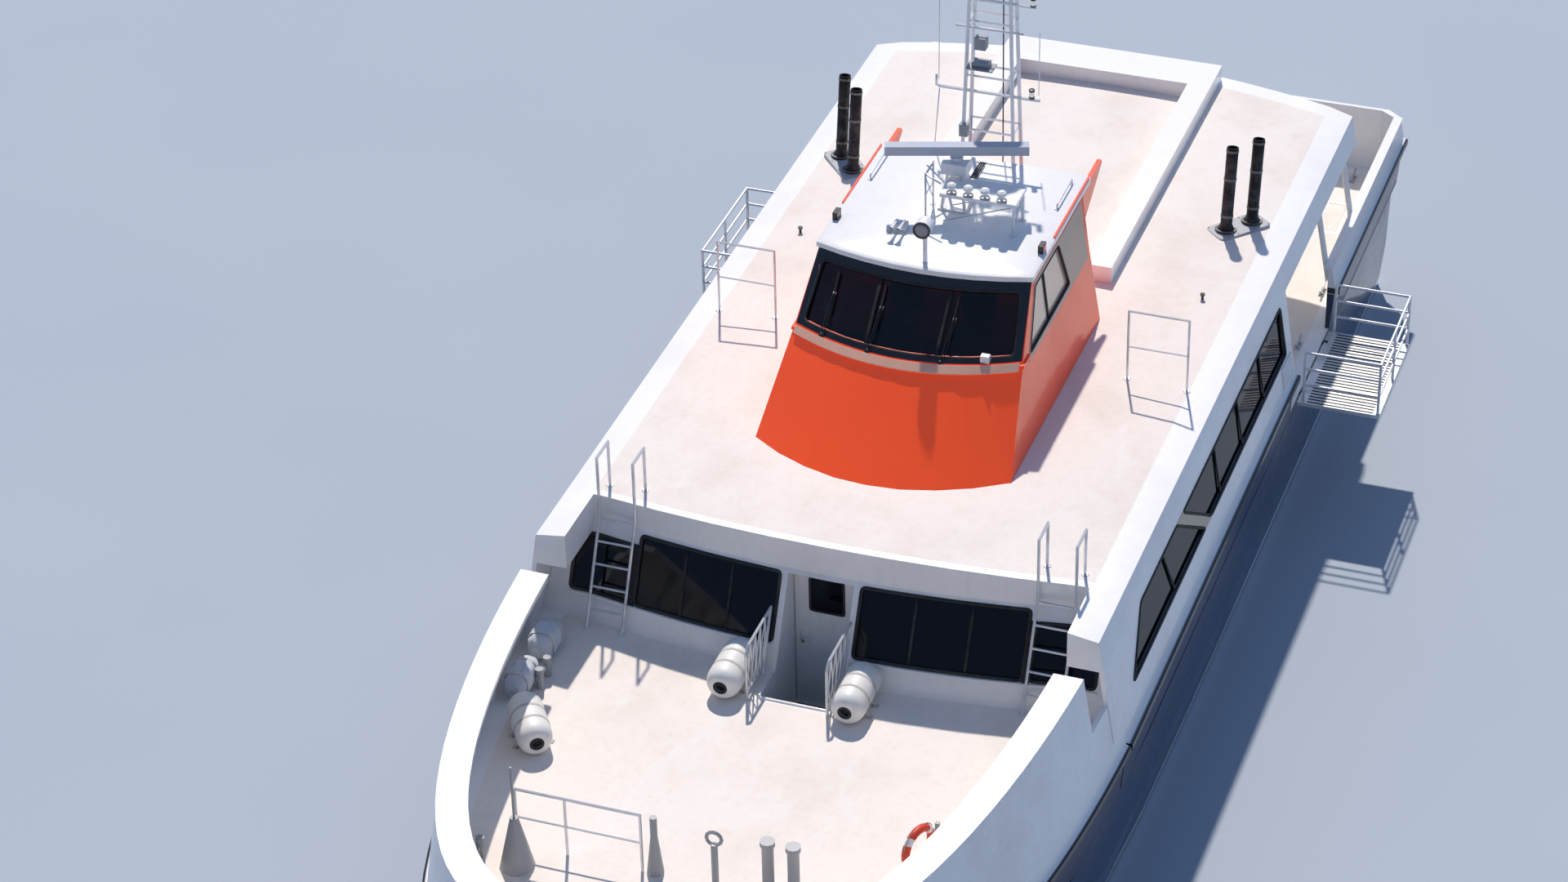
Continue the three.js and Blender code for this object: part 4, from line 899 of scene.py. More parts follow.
# Finish and record slot of each look that a fitted piece can have
looks = {
    "white": (whitePaint, "white_paint"),
    "grey": (material("greyPaint", paint("gearGrey", "grime", 0.5, 0.45, 0.15)), "white_paint"),
    "beige": (material("beigePanel", paint("blind", "creamStain", 0.5, 0.5, 0.1)), "white_paint"),
    # Pale peach paint for the ledge strip: a painted highlight for the sunlit top of the orange ledge
    "ledgeHighlight": (material("ledgeHighlightPaint", paint("ledgeHighlight", "orange", 0.25, 0.35, 0.3)), "orange_paint"),
    "orange": (finishOf("wheelhouse"), "orange_paint"),
    "black": (material("blackPaint", paint("black", "grime", 0.35, 0.3, 0.3)), "helm_trim"),
    "gloss": (material("darkGloss", paint("glass", "black", 0.3, 0.08, 0.8)), "helm_trim"),
    "rubber": (material("gasketRubber", moulded("rubber", "grime", 0.7, 260.0, 0.5)), "helm_trim"),
    "desk": (finishOf("helm"), "helm_trim"),
    "rail": (railMetal, "aluminium"),
    "cast": (finishOf("windlass"), "aluminium"),
    "plate": (material("plateMetal", paint("deckGrey", "whiteStain", 0.8, 0.5, 0.1)), "aluminium"),
    "band": (material("exhaustBand", metal("grime", 0.5)), "exhaust_black"),
    "glass": (finishOf("front_glass"), "tinted_glass"),
    "screen": (material("screenLook", screenLook), "tinted_glass"),
    "whiteLens": (material("whiteLens", lensLook("lamp", 0.25)), "white_paint"),
    "redLens": (material("redLens", lensLook("red", 0.2)), "ring_red"),
    "greenLens": (material("greenLens", lensLook("green", 0.2)), "helm_trim"),
    "foam": (finishOf("life_ring"), "ring_red"),
    "cloth": (finishOf("seats"), "seat_fabric"),
    "vinyl": (finishOf("fender"), "fender_vinyl"),
    "rope": (material("ropeLook", ropeLook), "fender_vinyl"),
    "webbing": (material("webbing", moulded("whiteStain", "grime", 0.8, 500.0, 0.6)), "fender_vinyl"),
    "canvas": (material("canvasLook", canvasLook), "fender_vinyl"),
}


# The corners of a rectangle, and the same line with its two numbers swapped.
def rectangle(a0, a1, b0, b1):
    return [(a0, b0), (a1, b0), (a1, b1), (a0, b1)]


def swapped(line):
    return [(b, a) for a, b in line]


# Points every so often round a closed line, with its corners kept.
def densify(line, step):
    line = np.asarray(line, float)
    ends = np.roll(line, -1, axis=0)
    counts = np.maximum(np.linalg.norm(ends - line, axis=1) / step, 1).astype(int)
    return np.concatenate([a + (b - a) * np.linspace(0, 1, n + 1)[:-1, None]
                           for a, b, n in zip(line, ends, counts)])


# The point at a distance off a face, and the face's normal. A face is a function of two numbers.
def off(face, a, b, distance):
    a, b = np.asarray(a, float), np.asarray(b, float)
    h = 0.002
    normal = np.cross(face(a + h, b) - face(a - h, b), face(a, b + h) - face(a, b - h))
    normal /= np.linalg.norm(normal, axis=-1, keepdims=True)
    return face(a, b) + normal * np.asarray(distance)[..., None], normal


# A strip of rounded section along a closed line that is drawn on a face.
def moulding(face, line, width, inner, outer, bend=0.05):
    line = densify(loop(line, bend), 0.15)
    points, normals = off(face, line[:, 0], line[:, 1], 0.0)
    half, soft = width / 2, min(width * 0.25, (outer - inner) * 0.6)
    profile = [(-half, inner), (half, inner), (half, outer - soft), (half - soft, outer),
               (soft - half, outer), (-half, outer - soft)]
    return sweep(points, profile, normals, closed=True)


# A slab that follows a face between four corners, each two numbers on the face.
def slab(face, corners, inner, outer, rows=12, columns=4):
    c = np.asarray(corners, float)
    s, t = np.linspace(0, 1, rows)[:, None, None], np.linspace(0, 1, columns)[None, :, None]
    spot = (1 - s) * (1 - t) * c[0] + s * (1 - t) * c[1] + s * t * c[2] + (1 - s) * t * c[3]
    top = off(face, spot[..., 0], spot[..., 1], outer)[0]
    under = off(face, spot[..., 0], spot[..., 1], inner)[0]
    return surface(np.concatenate([top, under[:, ::-1]], axis=1), closedColumns=True, capped=True)


# A flat frame on a face between an outer and an inner outline that have the same corners.
def framePanel(face, outerLine, innerLine, inner, outer, steps=10):
    def spread(line):
        line = np.asarray(line, float)
        t = np.linspace(0, 1, steps, endpoint=False)[None, :, None]
        return (line[:, None] * (1 - t) + np.roll(line, -1, axis=0)[:, None] * t).reshape(-1, 2)
    big, small = spread(outerLine), spread(innerLine)
    points = np.stack([off(face, line[:, 0], line[:, 1], d)[0]
                       for line, d in ((small, inner), (small, outer), (big, outer), (big, inner))], axis=1)
    return surface(points, closedRows=True, closedColumns=True)


def spots(x, y, z):
    return np.stack(np.broadcast_arrays(x, y, z), axis=-1)


# The cabin's raked and bowed front, and the wheelhouse's, both by y and z.
def frontFace(y, z):
    return spots(frontX(y, z), y, z)


def wheelFront(y, z):
    return spots(wheelFrontX(y, z), y, z)


# The port sides of the wheelhouse and the cabin, both by z and x.
def wheelSide(z, x):
    return spots(x, wheelAt("half", z), z)


def cabinSide(z, x):
    return spots(x, sideY(z), z)


# An upright face that looks forward at x, by y and z, and one that looks aft, by z and y.
def facingFore(x):
    return lambda y, z: spots(x, y, z)


def facingAft(x):
    return lambda z, y: spots(x, y, z)


# A ring of any section about an axis: (radius, height) pairs joined end to end.
def hoop(profile, centre, axis=(0, 0, 1), sides=28):
    points = turned(profile, centre, axis, sides)[0].reshape(len(profile), sides, 3)
    return surface(points, closedRows=True, closedColumns=True)


# A ring of plain section between two radii and two heights.
def band(inner, outer, low, high, centre, axis=(0, 0, 1), sides=28):
    return hoop([(inner, low), (outer, low), (outer, high), (inner, high)], centre, axis, sides)


# A straight round bar between two points, and a round bar bent along a line.
def bar(a, b, radius=0.012, sides=10):
    return tube([a, b], radius, sides)


def bent(line, bend, radius, sides=10):
    return tube(rounded(line, bend), radius, sides)


# Section of a flat strap.
def flat(half, inner, outer):
    return [(-half, inner), (half, inner), (half, outer), (-half, outer)]


# Boxes of one size from their low corners.
def row(lows, size):
    return boxes(lows, np.asarray(lows) + size)


# Round flanges with bolt heads, at points on a level floor.
def flanges(points, radius=0.055, high=0.012):
    disc = [(radius, 0), (radius, high * 0.7), (radius * 0.85, high)]
    head = [(0.008, -0.002), (0.008, 0.007), (0.005, 0.009)]
    turn = np.linspace(0, 2 * math.pi, 4, endpoint=False) + 0.6
    bolts = [(x + radius * 0.68 * math.cos(a), y + radius * 0.68 * math.sin(a), z + high)
             for x, y, z in points for a in turn]
    return joined([turned(disc, p, sides=20) for p in points] + [turned(head, p, sides=6) for p in bolts])


print("stage: fitting helpers")

# Front of the cabin: rubber round the windows, dark pillars and mullions, and a sill. Lines are (y, z)
front = {"inner": {"port": 0.44, "starboard": 0.64}, "pillar": (2.60, 2.69), "outer": 3.52, "sill": 3.08,
         "head": 3.90, "wingHead": 3.76, "rubber": 0.045, "mullion": 0.035, "board": (3.022, 3.05)}


def makeFrontTrim():
    rubber, boards = [], []
    low, high = front["pillar"]
    foot, half = front["sill"], front["mullion"] / 2
    for name, hand in hands:
        inner, outer = front["inner"][name], front["outer"]
        panes = rectangle(inner, low, foot, front["head"]), rectangle(high, outer, foot, front["wingHead"])
        shapes = [moulding(frontFace, pane, front["rubber"], -0.02, 0.012, 0.06) for pane in panes]
        cover = rectangle(low - 0.01, high + 0.01, foot - 0.02, front["wingHead"] + 0.02)
        shapes.append(slab(frontFace, cover, -0.01, 0.006, 4, 6))
        for y in np.linspace(inner, low, 4)[1:-1]:
            post = rectangle(y - half, y + half, foot + 0.01, front["head"] - 0.01)
            shapes.append(slab(frontFace, post, -0.027, -0.016, 3, 6))
        rubber += [mirrored(shape, hand) for shape in shapes]
        board = rectangle(inner - 0.03, outer + 0.03, *front["board"])
        boards.append(mirrored(slab(frontFace, board, -0.005, 0.03, 24, 3), hand))
    make("front_window_rubber", rubber, "rubber", smooth=True)
    make("front_sill", boards, "white", bevel=0.004)


makeFrontTrim()

# Doors: a pane and its rubber, and a lever on both faces. A pane is its y and z, a lever's place (y, z)
doors = {
    "front": {"aft": 3.84, "pane": (-0.34, 0.14, 3.22, 3.76), "lever": (-0.44, 2.78)},
    "aft": {"aft": -4.61, "pane": (-0.25, 0.25, 2.90, 3.60), "lever": (-0.36, 2.75)},
    "wheelhouse": {"aft": -2.185, "pane": (0.68, 1.15, 5.40, 6.10), "lever": (0.63, 5.2)},
}
doorParts = {"thick": 0.04, "rubber": 0.04, "overlap": 0.01, "plate": (0.004, 0.025, 0.09), "reach": 0.035,
             "grip": 0.12, "radius": 0.009}


def makeDoor(name, door):
    leaf = name + "_door_leaf"
    aft, fore = door["aft"], door["aft"] + doorParts["thick"]
    y0, y1, z0, z1 = door["pane"]
    pane = slab(facingFore((aft + fore) / 2), rectangle(*door["pane"]), -0.004, 0.004, 2, 2)
    make(name + "_door_pane", pane, "glass", leaf)
    edge = doorParts["overlap"]
    line = rectangle(y0 + edge, y1 - edge, z0 + edge, z1 - edge)
    rubber = [moulding(facingFore(fore), line, doorParts["rubber"], -0.016, 0.006),
              moulding(facingAft(aft), swapped(line), doorParts["rubber"], -0.016, 0.006)]
    make(name + "_door_rubber", rubber, "rubber", leaf, smooth=True)
    y, z = door["lever"]
    thick, half, tall = doorParts["plate"]
    shapes = []
    for x, out in ((fore, 1), (aft, -1)):
        plate, reach = sorted((x, x + out * thick)), x + out * doorParts["reach"]
        shapes.append(boxes([plate[0], y - half, z - tall], [plate[1], y + half, z + tall]))
        grip = [(x, y, z), (reach, y, z), (reach, y + doorParts["grip"], z)]
        shapes.append(bent(grip, 0.02, doorParts["radius"]))
    make(name + "_door_lever", shapes, "rail", leaf, smooth=True)


for name, door in doors.items():
    makeDoor(name, door)

# Hinge knuckles: radius, half height, where the pin stands, heights, and the leaf they ride on
hinges = {
    "wheelhouse_door_hinges": (0.016, 0.05, (-2.225, 1.272), (4.7, 5.3, 5.95), "wheelhouse_door_leaf"),
    "aft_door_leaf_hinges": (0.014, 0.045, (-4.65, 0.43), (2.0, 2.75, 3.5), "aft_door_leaf"),
    "front_door_leaf_hinges": (0.014, 0.045, (3.808, 0.318), (2.0, 2.8, 3.6), "front_door_leaf"),
    "bow_gate_hinges": (0.013, 0.05, (11.585, -0.632), (2.95, 3.5), "bow_gate_leaf"),
}
for name, (radius, half, pin, heights, leaf) in hinges.items():
    knuckles = [turned([(radius, -half), (radius, half)], (*pin, z), sides=14) for z in heights]
    make(name, knuckles, "rail", leaf, smooth=True)

# Stairs down to the front door: ribbed treads with metal nosings, a mat, and a rim round the well
stairs = {"steps": ((4.66, 2.0), (4.84, 2.25), (5.02, 2.5)), "port": 0.34, "starboard": -0.54, "gap": 0.03,
          "deep": 0.18, "ribs": 7, "mat": (3.95, 4.62), "floor": 1.75, "rim": (4.68, 5.22)}


def makeStairs():
    y0, y1 = stairs["starboard"] + stairs["gap"], stairs["port"] - stairs["gap"]
    treads, nosings = [], []
    for edge, z in stairs["steps"]:
        nosings.append(boxes([edge - 0.008, y0, z - 0.03], [edge, y1, z + 0.006]))
        nosings.append(boxes([edge - 0.008, y0, z], [edge + 0.025, y1, z + 0.006]))
        treads.append(boxes([edge + 0.03, y0, z], [edge + stairs["deep"] - 0.012, y1, z + 0.004]))
        x = np.linspace(edge + 0.045, edge + stairs["deep"] - 0.03, stairs["ribs"])
        treads.append(row(spots(x - 0.003, y0 + 0.01, z + 0.003), (0.006, y1 - y0 - 0.02, 0.006)))
    (x0, x1), floor = stairs["mat"], stairs["floor"]
    treads.append(boxes([x0, y0, floor], [x1, y1, floor + 0.008]))
    make("stair_treads", treads, "rubber")
    make("stair_nosings", nosings, "rail", bevel=0.0015)
    corners = rectangle(*stairs["rim"], stairs["starboard"] - 0.02, stairs["port"] + 0.02)
    rim = rounded([(x, y, boat["foreDeck"]) for x, y in corners], 0.03)
    lip = [(-0.02, -0.002), (0.02, -0.002), (0.02, 0.012), (0.012, 0.022), (-0.012, 0.022), (-0.02, 0.012)]
    make("well_rim", sweep(rim, lip), "white", smooth=True)


makeStairs()
print("stage: cabin front")

# Fenders: blown vinyl with a sleeve through the middle, and webbing that holds them to the deck. A spot
# is where the nose lies, and which way the fender runs from there
fenders = {"radius": 0.228, "length": 0.9, "round": 0.17, "sleeve": 0.068, "lip": 0.08, "lift": 0.2303,
           "webbing": (0.33, 0.60), "wrap": 0.22, "strap": 0.02, "pad": 0.035,
           "spots": {"stair_port": ((5.47, 0.67), (-1.0, 0.0)),
                     "stair_starboard": ((5.47, -0.975), (-1.0, 0.0)),
                     "bow": ((7.23, -2.72), (-0.83, -0.56))}}


# Radius is lip + (radius - lip) * sin(turn)^0.8 and the way along is round * (1 - cos(turn)) at each end
def makeFender(name, spot, along):
    radius, length, sleeve, lip = (fenders[key] for key in ("radius", "length", "sleeve", "lip"))
    along = np.array([*along, 0.0]) / np.hypot(*along)
    nose = np.array([*spot, boat["foreDeck"] + fenders["lift"]])
    turn = np.linspace(0, math.pi / 2, 12)
    r = lip + (radius - lip) * np.sin(turn) ** 0.8
    s = fenders["round"] * (1 - np.cos(turn)) + 0.002
    front, back = np.stack([r, s], axis=1), np.stack([r, length - s], axis=1)[::-1]
    hole = [(sleeve, length - 0.008), (sleeve, 0.008)]
    section = np.concatenate([front, back, hole])
    skin = make("fender_skin_" + name, hoop(section, nose, along, 40), "vinyl", smooth=True)
    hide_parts("fender_" + name)
    inside = [(0.0, 0.06), (0.058, 0.06), (0.066, 0.03), (0.066, 0.87), (0.058, 0.84), (0.0, 0.84)]
    cuff = np.array([(0.062, -0.004), (0.09, -0.004), (0.094, 0.0), (0.09, 0.012), (0.062, 0.012)])
    cuffs = [hoop(cuff + (0.0, at), nose, along) for at in (0.002, 0.886)]
    make("fender_sleeve_" + name, [turned(inside, nose, along, 28)] + cuffs, "rubber", smooth=True)
    side, up = np.cross(along, (0, 0, 1.0)), np.array([[0, 0, 1.0]])
    turn = np.linspace(-fenders["wrap"] * math.pi, (1 + fenders["wrap"]) * math.pi, 30)[:, None]
    out = side * np.cos(turn) + up * np.sin(turn)
    straps = []
    for at in fenders["webbing"]:
        arc = nose + along * at * length + out * (radius + 0.002)
        ends = np.array([arc[0] + side * 0.05, arc[-1] - side * 0.05])
        ends[:, 2] = boat["foreDeck"] + 0.003
        path = np.concatenate([ends[:1], arc, ends[1:]])
        straps.append(sweep(path, flat(fenders["strap"], -0.001, 0.0015), np.concatenate([up, out, up])))
        pad = np.array([fenders["pad"], fenders["pad"], 0.003])
        straps.append(boxes(ends - pad, ends + pad * (1, 1, 2)))
    make("fender_webbing_" + name, straps, "webbing")


for name, (spot, along) in fenders["spots"].items():
    makeFender(name, spot, along)


# Life ring: hard foam with a grab line that is held at the four bands
def makeLifeRing():
    radius, thick = lifeRing["radius"], lifeRing["thick"]
    low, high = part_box("life_ring")
    centre = np.array((low + high) / 2) - (0.0, lifeRing["inboard"], 0.0)
    centre[2] = boat["foreDeck"] + lifeRing["middle"]
    aside = math.radians(lifeRing["turn"])
    across, over = np.array([math.cos(aside), -math.sin(aside), 0]), np.array([0, 0, 1.0])
    turn = np.linspace(0, 2 * math.pi, 64, endpoint=False)

    def around(reach, section):
        line = centre + (reach * np.cos(turn))[:, None] * across + (reach * np.sin(turn))[:, None] * over
        return sweep(line, section, np.cross(across, over), closed=True)
    foam = make("life_ring_foam", around(radius, circle(thick, 20)), "foam", smooth=True)
    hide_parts("life_ring")
    reach = radius + thick - 0.014 + lifeRing["slack"] * np.abs(np.sin(2 * turn)) ** 1.5
    make("life_ring_line", around(reach, circle(lifeRing["line"], 8)), "rope", smooth=True)


makeLifeRing()
print("stage: fenders and life ring")

# Windscreen: black surround, rubber, mullions and wipers, by y and z on the wheelhouse's front
house = {"bottom": 5.56, "top": 6.19, "lowHalf": 1.44, "highHalf": 1.35, "rubber": 0.035,
         "mullions": (-0.48, 0.48), "wipers": (-1.12, -0.43, 0.55), "wiperFoot": 5.505, "blade": (5.72, 6.12)}


def makeWindscreenTrim():
    z0, z1, y0, y1 = (house[key] for key in ("bottom", "top", "lowHalf", "highHalf"))
    hole = [(-y0, z0), (y0, z0), (y1, z1), (-y1, z1)]
    low, high = y0 + 0.095, y1 + 0.098
    rim = [(-low, z0 - 0.055), (low, z0 - 0.055), (high, z1 + 0.095), (-high, z1 + 0.095)]
    inner = [(y * 0.985, z + (0.01 if z == z0 else -0.01)) for y, z in hole]
    make("windscreen_surround", framePanel(wheelFront, rim, inner, -0.004, 0.006, 24), "gloss")
    rubber = [moulding(wheelFront, hole, house["rubber"], -0.02, 0.014, 0.07)]
    for y in house["mullions"]:
        post = [(y - 0.025, z0), (y + 0.025, z0), (y + 0.023, z1), (y - 0.023, z1)]
        rubber.append(slab(wheelFront, post, -0.026, 0.004, 3, 6))
    make("windscreen_rubber", rubber, "rubber", smooth=True)


def makeWipers():
    arms, blades = [], []
    hub = [(0.0, -0.01), (0.035, -0.01), (0.035, 0.03), (0.02, 0.045), (0.0, 0.045)]
    lip = [(-0.004, 0.0), (0.004, 0.0), (0.011, 0.016), (0.011, 0.03), (-0.011, 0.03), (-0.011, 0.016)]
    for y in house["wipers"]:
        foot, normal = off(wheelFront, np.array([y]), np.array([house["wiperFoot"]]), 0.0)
        z = np.linspace(house["wiperFoot"], 5.93, 7)
        rise = np.interp(z, (5.5, 5.6, 5.93), (0.03, 0.045, 0.03))
        line, _ = off(wheelFront, y + 0.10 * (z - 5.5), z, rise)
        arms += [turned(hub, foot[0], normal[0], 20), tube(line, 0.008, 8)]
        arms.append(tube(line + (0.0, 0.035, 0.0), 0.005, 6))
        z = np.linspace(*house["blade"], 9)
        edge, up = off(wheelFront, y + 0.045 + 0 * z, z, -0.012)
        blades.append(sweep(edge, lip, up))
    make("wiper_arms", arms, "black", smooth=True)
    make("wiper_blades", blades, "rubber")


# Sides and aft wall of the wheelhouse: outlines are (z, x) on the sides and (z, y) on the aft wall
houseSides = {"hole": [(5.45, -1.25), (5.45, 0.56), (6.17, 0.06), (6.17, -1.0)],
              "edge": [(5.37, -2.08), (5.37, 0.655), (6.235, 0.055), (6.235, -2.08)],
              "post": swapped(rectangle(-0.36, -0.31, 5.46, 6.16)),
              "strip": [(-2.44, 1.468, 6.35), (-0.82, 1.468, 6.35)],
              "aftPane": rectangle(5.39, 6.16, -1.21, -0.44), "aftHole": rectangle(5.4, 6.15, -1.2, -0.45)}


def makeHouseSides():
    hole = houseSides["hole"]
    strip = sweep(houseSides["strip"], [(-0.006, -0.055), (-0.006, 0.055), (0.02, 0.055), (0.02, -0.055)])
    rubber = [moulding(wheelSide, hole, 0.032, -0.02, 0.012, 0.06),
              slab(wheelSide, houseSides["post"], -0.026, -0.012, 3, 4)]
    aftRubber = moulding(facingAft(-2.19), houseSides["aftHole"], 0.04, -0.02, 0.008, 0.07)
    panel = framePanel(wheelSide, houseSides["edge"], hole, -0.004, 0.005)
    make("wheelhouse_side_panels", bothHands(panel), "beige")
    make("wheelhouse_side_rubber", bothHands(joined(rubber)), "rubber", smooth=True)
    make("wheelhouse_roof_strips", bothHands(strip), "orange", bevel=0.003)
    make("wheelhouse_aft_pane", slab(facingAft(-2.16), houseSides["aftPane"], -0.003, 0.003, 2, 2), "glass")
    make("wheelhouse_aft_rubber", aftRubber, "rubber", smooth=True)


# Gear on the wheelhouse's roof. Bars (end, end, radius), rails and cables count their heights from the
# roof, the searchlight and the ledge from the waterline
houseRoof = {
    "bars": [((-1.13, -0.30, -0.01), (-1.13, -0.30, 0.66), 0.013),
             ((-0.80, -0.30, -0.01), (-0.80, -0.30, 0.66), 0.013),
             ((-1.13, -0.30, 0.34), (-0.80, -0.30, 0.34), 0.009),
             ((-1.11, -0.38, 0.60), (-1.21, -0.16, 0.30), 0.014),
             ((-1.13, -0.30, 0.1), (-0.80, -0.30, 0.6), 0.008),
             ((-0.69, 0.94, 0.05), (-1.11, 0.94, 0.42), 0.009),
             ((-0.69, -0.02, 0.05), (-0.69, 0.94, 0.42), 0.009),
             ((-1.11, -0.02, 0.05), (-1.11, 0.94, 0.42), 0.009)],
    "shelfRail": [(-1.13, -0.30, 0.64), (-0.80, -0.30, 0.64), (-0.665, -0.05, 0.62)],
    "handRail": [(-1.5, 1.30, -0.01), (-1.5, 1.30, 0.075), (-2.2, 1.30, 0.075), (-2.2, 1.30, -0.01)],
    "feet": [(-1.13, -0.30), (-0.80, -0.30), (-1.5, 1.3), (-1.5, -1.3), (-2.2, 1.3), (-2.2, -1.3),
             (0.30, 0.05)],
    "horns": (-0.56, -0.46),
    "horn": [(0.014, 0.0), (0.016, 0.12), (0.022, 0.22), (0.032, 0.28), (0.048, 0.32), (0.048, 0.326),
             (0.03, 0.28), (0.0, 0.2)],
    "sidelight": (-0.43, 1.41), "searchlight": (0.452, 0.05, 6.96), "domes": (0.086, 0.314, 0.543, 0.772),
    "cables": (-0.02, 0.01, 0.04),
    "cable": [(-1.4, 0.03), (-1.9, 0.03), (-2.32, 0.028), (-2.46, -0.03), (-2.30, -0.16)],
    "ledge": [(-1.52, 5.405), (1.52, 5.405), (1.515, 5.485), (-1.515, 5.485)], "ledgeOut": 0.045,
}


def makeHouseRoof():
    z = boat["wheelRoofZ"]
    lift = np.array([0.0, 0.0, z])
    metalParts = [bar(lift + a, lift + b, radius) for a, b, radius in houseRoof["bars"]]
    metalParts.append(bent(lift + houseRoof["shelfRail"], 0.06, 0.013))
    metalParts.append(bothHands(bent(lift + houseRoof["handRail"], 0.04, 0.012)))
    make("wheelhouse_rails", metalParts, "rail", smooth=True)
    feet = [(x, y, z - 0.003) for x, y in houseRoof["feet"]]
    make("wheelhouse_rail_feet", flanges(feet, 0.038, 0.01), "rail")
    horns = [turned(houseRoof["horn"], (-0.42, y, z + 0.12), (1, 0, 0.08), 24) for y in houseRoof["horns"]]
    make("horn", horns + [boxes([-0.46, -0.60, z - 0.005], [-0.32, -0.42, z + 0.1])], "white", smooth=True)
    x, y = houseRoof["sidelight"]
    lamp, ahead = houseRoof["searchlight"], (1, 0, 0)
    lens = [(0.0, -0.01), (0.1, -0.01), (0.1, 0.002), (0.06, 0.008), (0.0, 0.01)]
    make("roof_lamp_bodies", [bothHands(crate(x, y, z - 0.005, (0.16, 0.07, 0.11))),
                              band(0.100, 0.118, -0.02, 0.012, lamp, ahead, 32)], "black", bevel=0.002)
    make("searchlight_lens", turned(lens, lamp, ahead, 32), "grey", smooth=True)
    for color, hand in (("red", 1), ("green", -1)):
        lens = crate(x + 0.005, hand * (y + 0.03), z + 0.01, (0.09, 0.03, 0.08))
        make("sidelight_" + color, lens, color + "Lens", bevel=0.006)
    # The strip's pale peach is a painted highlight, standing in for the sunlit top of the orange ledge
    ledge = slab(wheelFront, houseRoof["ledge"], 0.0, houseRoof["ledgeOut"], 40, 4)
    make("ledge_highlight_strip", ledge, "ledgeHighlight", bevel=0.004)
    flood = [crate(1.03, 1.10, 5.52, (0.09, 0.12, 0.10)), bar((1.0, 1.10, 5.46), (1.02, 1.10, 5.53))]
    make("ledge_light", flood, "white", bevel=0.008)
    collars = [band(0.055, 0.07, 0.0, 0.018, (-0.71, y, 6.88), sides=24) for y in houseRoof["domes"]]
    tray = boxes([-2.3, -0.04, z - 0.004], [-1.42, 0.06, z + 0.02])
    make("dome_collars", collars + [tray], "grey", bevel=0.002)
    cables = [bent([(x, y, z + high) for x, high in houseRoof["cable"]], 0.05, 0.008, 8)
              for y in houseRoof["cables"]]
    make("roof_cables", cables, "rubber", smooth=True)


makeWindscreenTrim()
makeWipers()
makeHouseSides()
makeHouseRoof()
print("stage: wheelhouse")

# Mast: its height, aft face, forward face and half width at the foot and the top, and what it carries
mast = {
    "foot": (4.3, -3.0, -2.56, 0.425), "top": (9.2, -2.9, -2.66, 0.27), "crossbar": 8.29,
    "boxes": ((8.1, 0.05, -0.10, 8.02, (0.14, 0.16, 0.17)), (6.75, 0.03, -0.33, 6.66, (0.1, 0.12, 0.18))),
    "aerials": [((-2.62, -0.69, 7.30), (-2.60, -0.75, 6.45), 0.008),
                ((-2.75, -0.74, 7.37), (-2.78, -0.74, 9.05), 0.007),
                ((-2.75, 0.66, 7.34), (-2.75, 0.66, 8.3), 0.006),
                ((-2.78, 0.0, 9.69), (-2.78, 0.0, 9.2), 0.02)],
    "lamps": [(-2.58, 0.0, 9.05), (-2.62, -0.6, 8.74), (-2.62, 0.6, 8.74), (-2.62, 0.6, 7.37)],
    "cup": [(0.0, 0.0), (0.04, 0.0), (0.04, 0.02), (0.0, 0.02)],
    "cap": [(0.0, 0.10), (0.042, 0.10), (0.038, 0.125), (0.0, 0.13)],
    "lens": [(0.0, 0.02), (0.034, 0.02), (0.036, 0.06), (0.034, 0.10), (0.0, 0.10)],
}


# The mast's aft and forward faces and half width at a height.
def mastAt(z):
    k = (z - mast["foot"][0]) / (mast["top"][0] - mast["foot"][0])
    return [a + (b - a) * k for a, b in zip(mast["foot"][1:], mast["top"][1:])]


def makeMastGear():
    high = mast["crossbar"]
    fore = mastAt(high)[1]
    bars = [bar((fore, -0.47, high), (fore, 0.47, high), 0.018)]
    bars.append(bar((fore, -0.74, 7.33), (fore, -0.74, 7.5), 0.016))
    make("mast_crossbar", bars, "white", smooth=True)
    fore = mastAt(7.8)[1]
    shapes = [boxes([fore - 0.02, -0.27, 7.765], [fore + 0.22, 0.11, 7.785]),
              boxes([fore + 0.02, -0.2, 7.785], [fore + 0.16, 0.04, 7.86])]
    shapes += [crate(mastAt(at)[1] + out, y, z, size) for at, out, y, z, size in mast["boxes"]]
    make("mast_boxes", shapes, "grey", bevel=0.006)
    make("mast_aerials", [bar(a, b, radius) for a, b, radius in mast["aerials"]], "white", smooth=True)
    cups = [turned(mast[key], spot, sides=20) for spot in mast["lamps"] for key in ("cup", "cap")]
    make("mast_lamp_bodies", cups + [boxes([-2.72, -0.03, 9.02], [-2.56, 0.03, 9.05])], "black")
    lenses = [turned(mast["lens"], spot, sides=20) for spot in mast["lamps"]]
    make("mast_lamp_lenses", lenses, "whiteLens", smooth=True)
    z = np.linspace(4.42, 9.0, 24)
    cables = [tube(spots(mastAt(z)[0] + 0.05 + s, 0.12 + s * 0.5, z), 0.007, 6) for s in (0.0, 0.02)]
    make("mast_cables", cables, "rubber", smooth=True)
    _, aft, fore, half = mast["foot"]
    feet = [(x, y, 4.375) for x in (aft, fore) for y in (-half, half)]
    make("mast_feet", flanges(feet, 0.09, 0.016), "white")


makeMastGear()

# Roof: flanges under the rails and ladders, as x and the distances from the centreline, and two posts
roofGear = {"frames": (-0.9, (2.48, 3.30)), "ladder": (3.5, (2.68, 3.17)), "ladderFoot": 4.516,
            "post": (-3.16, 2.92, 4.31)}


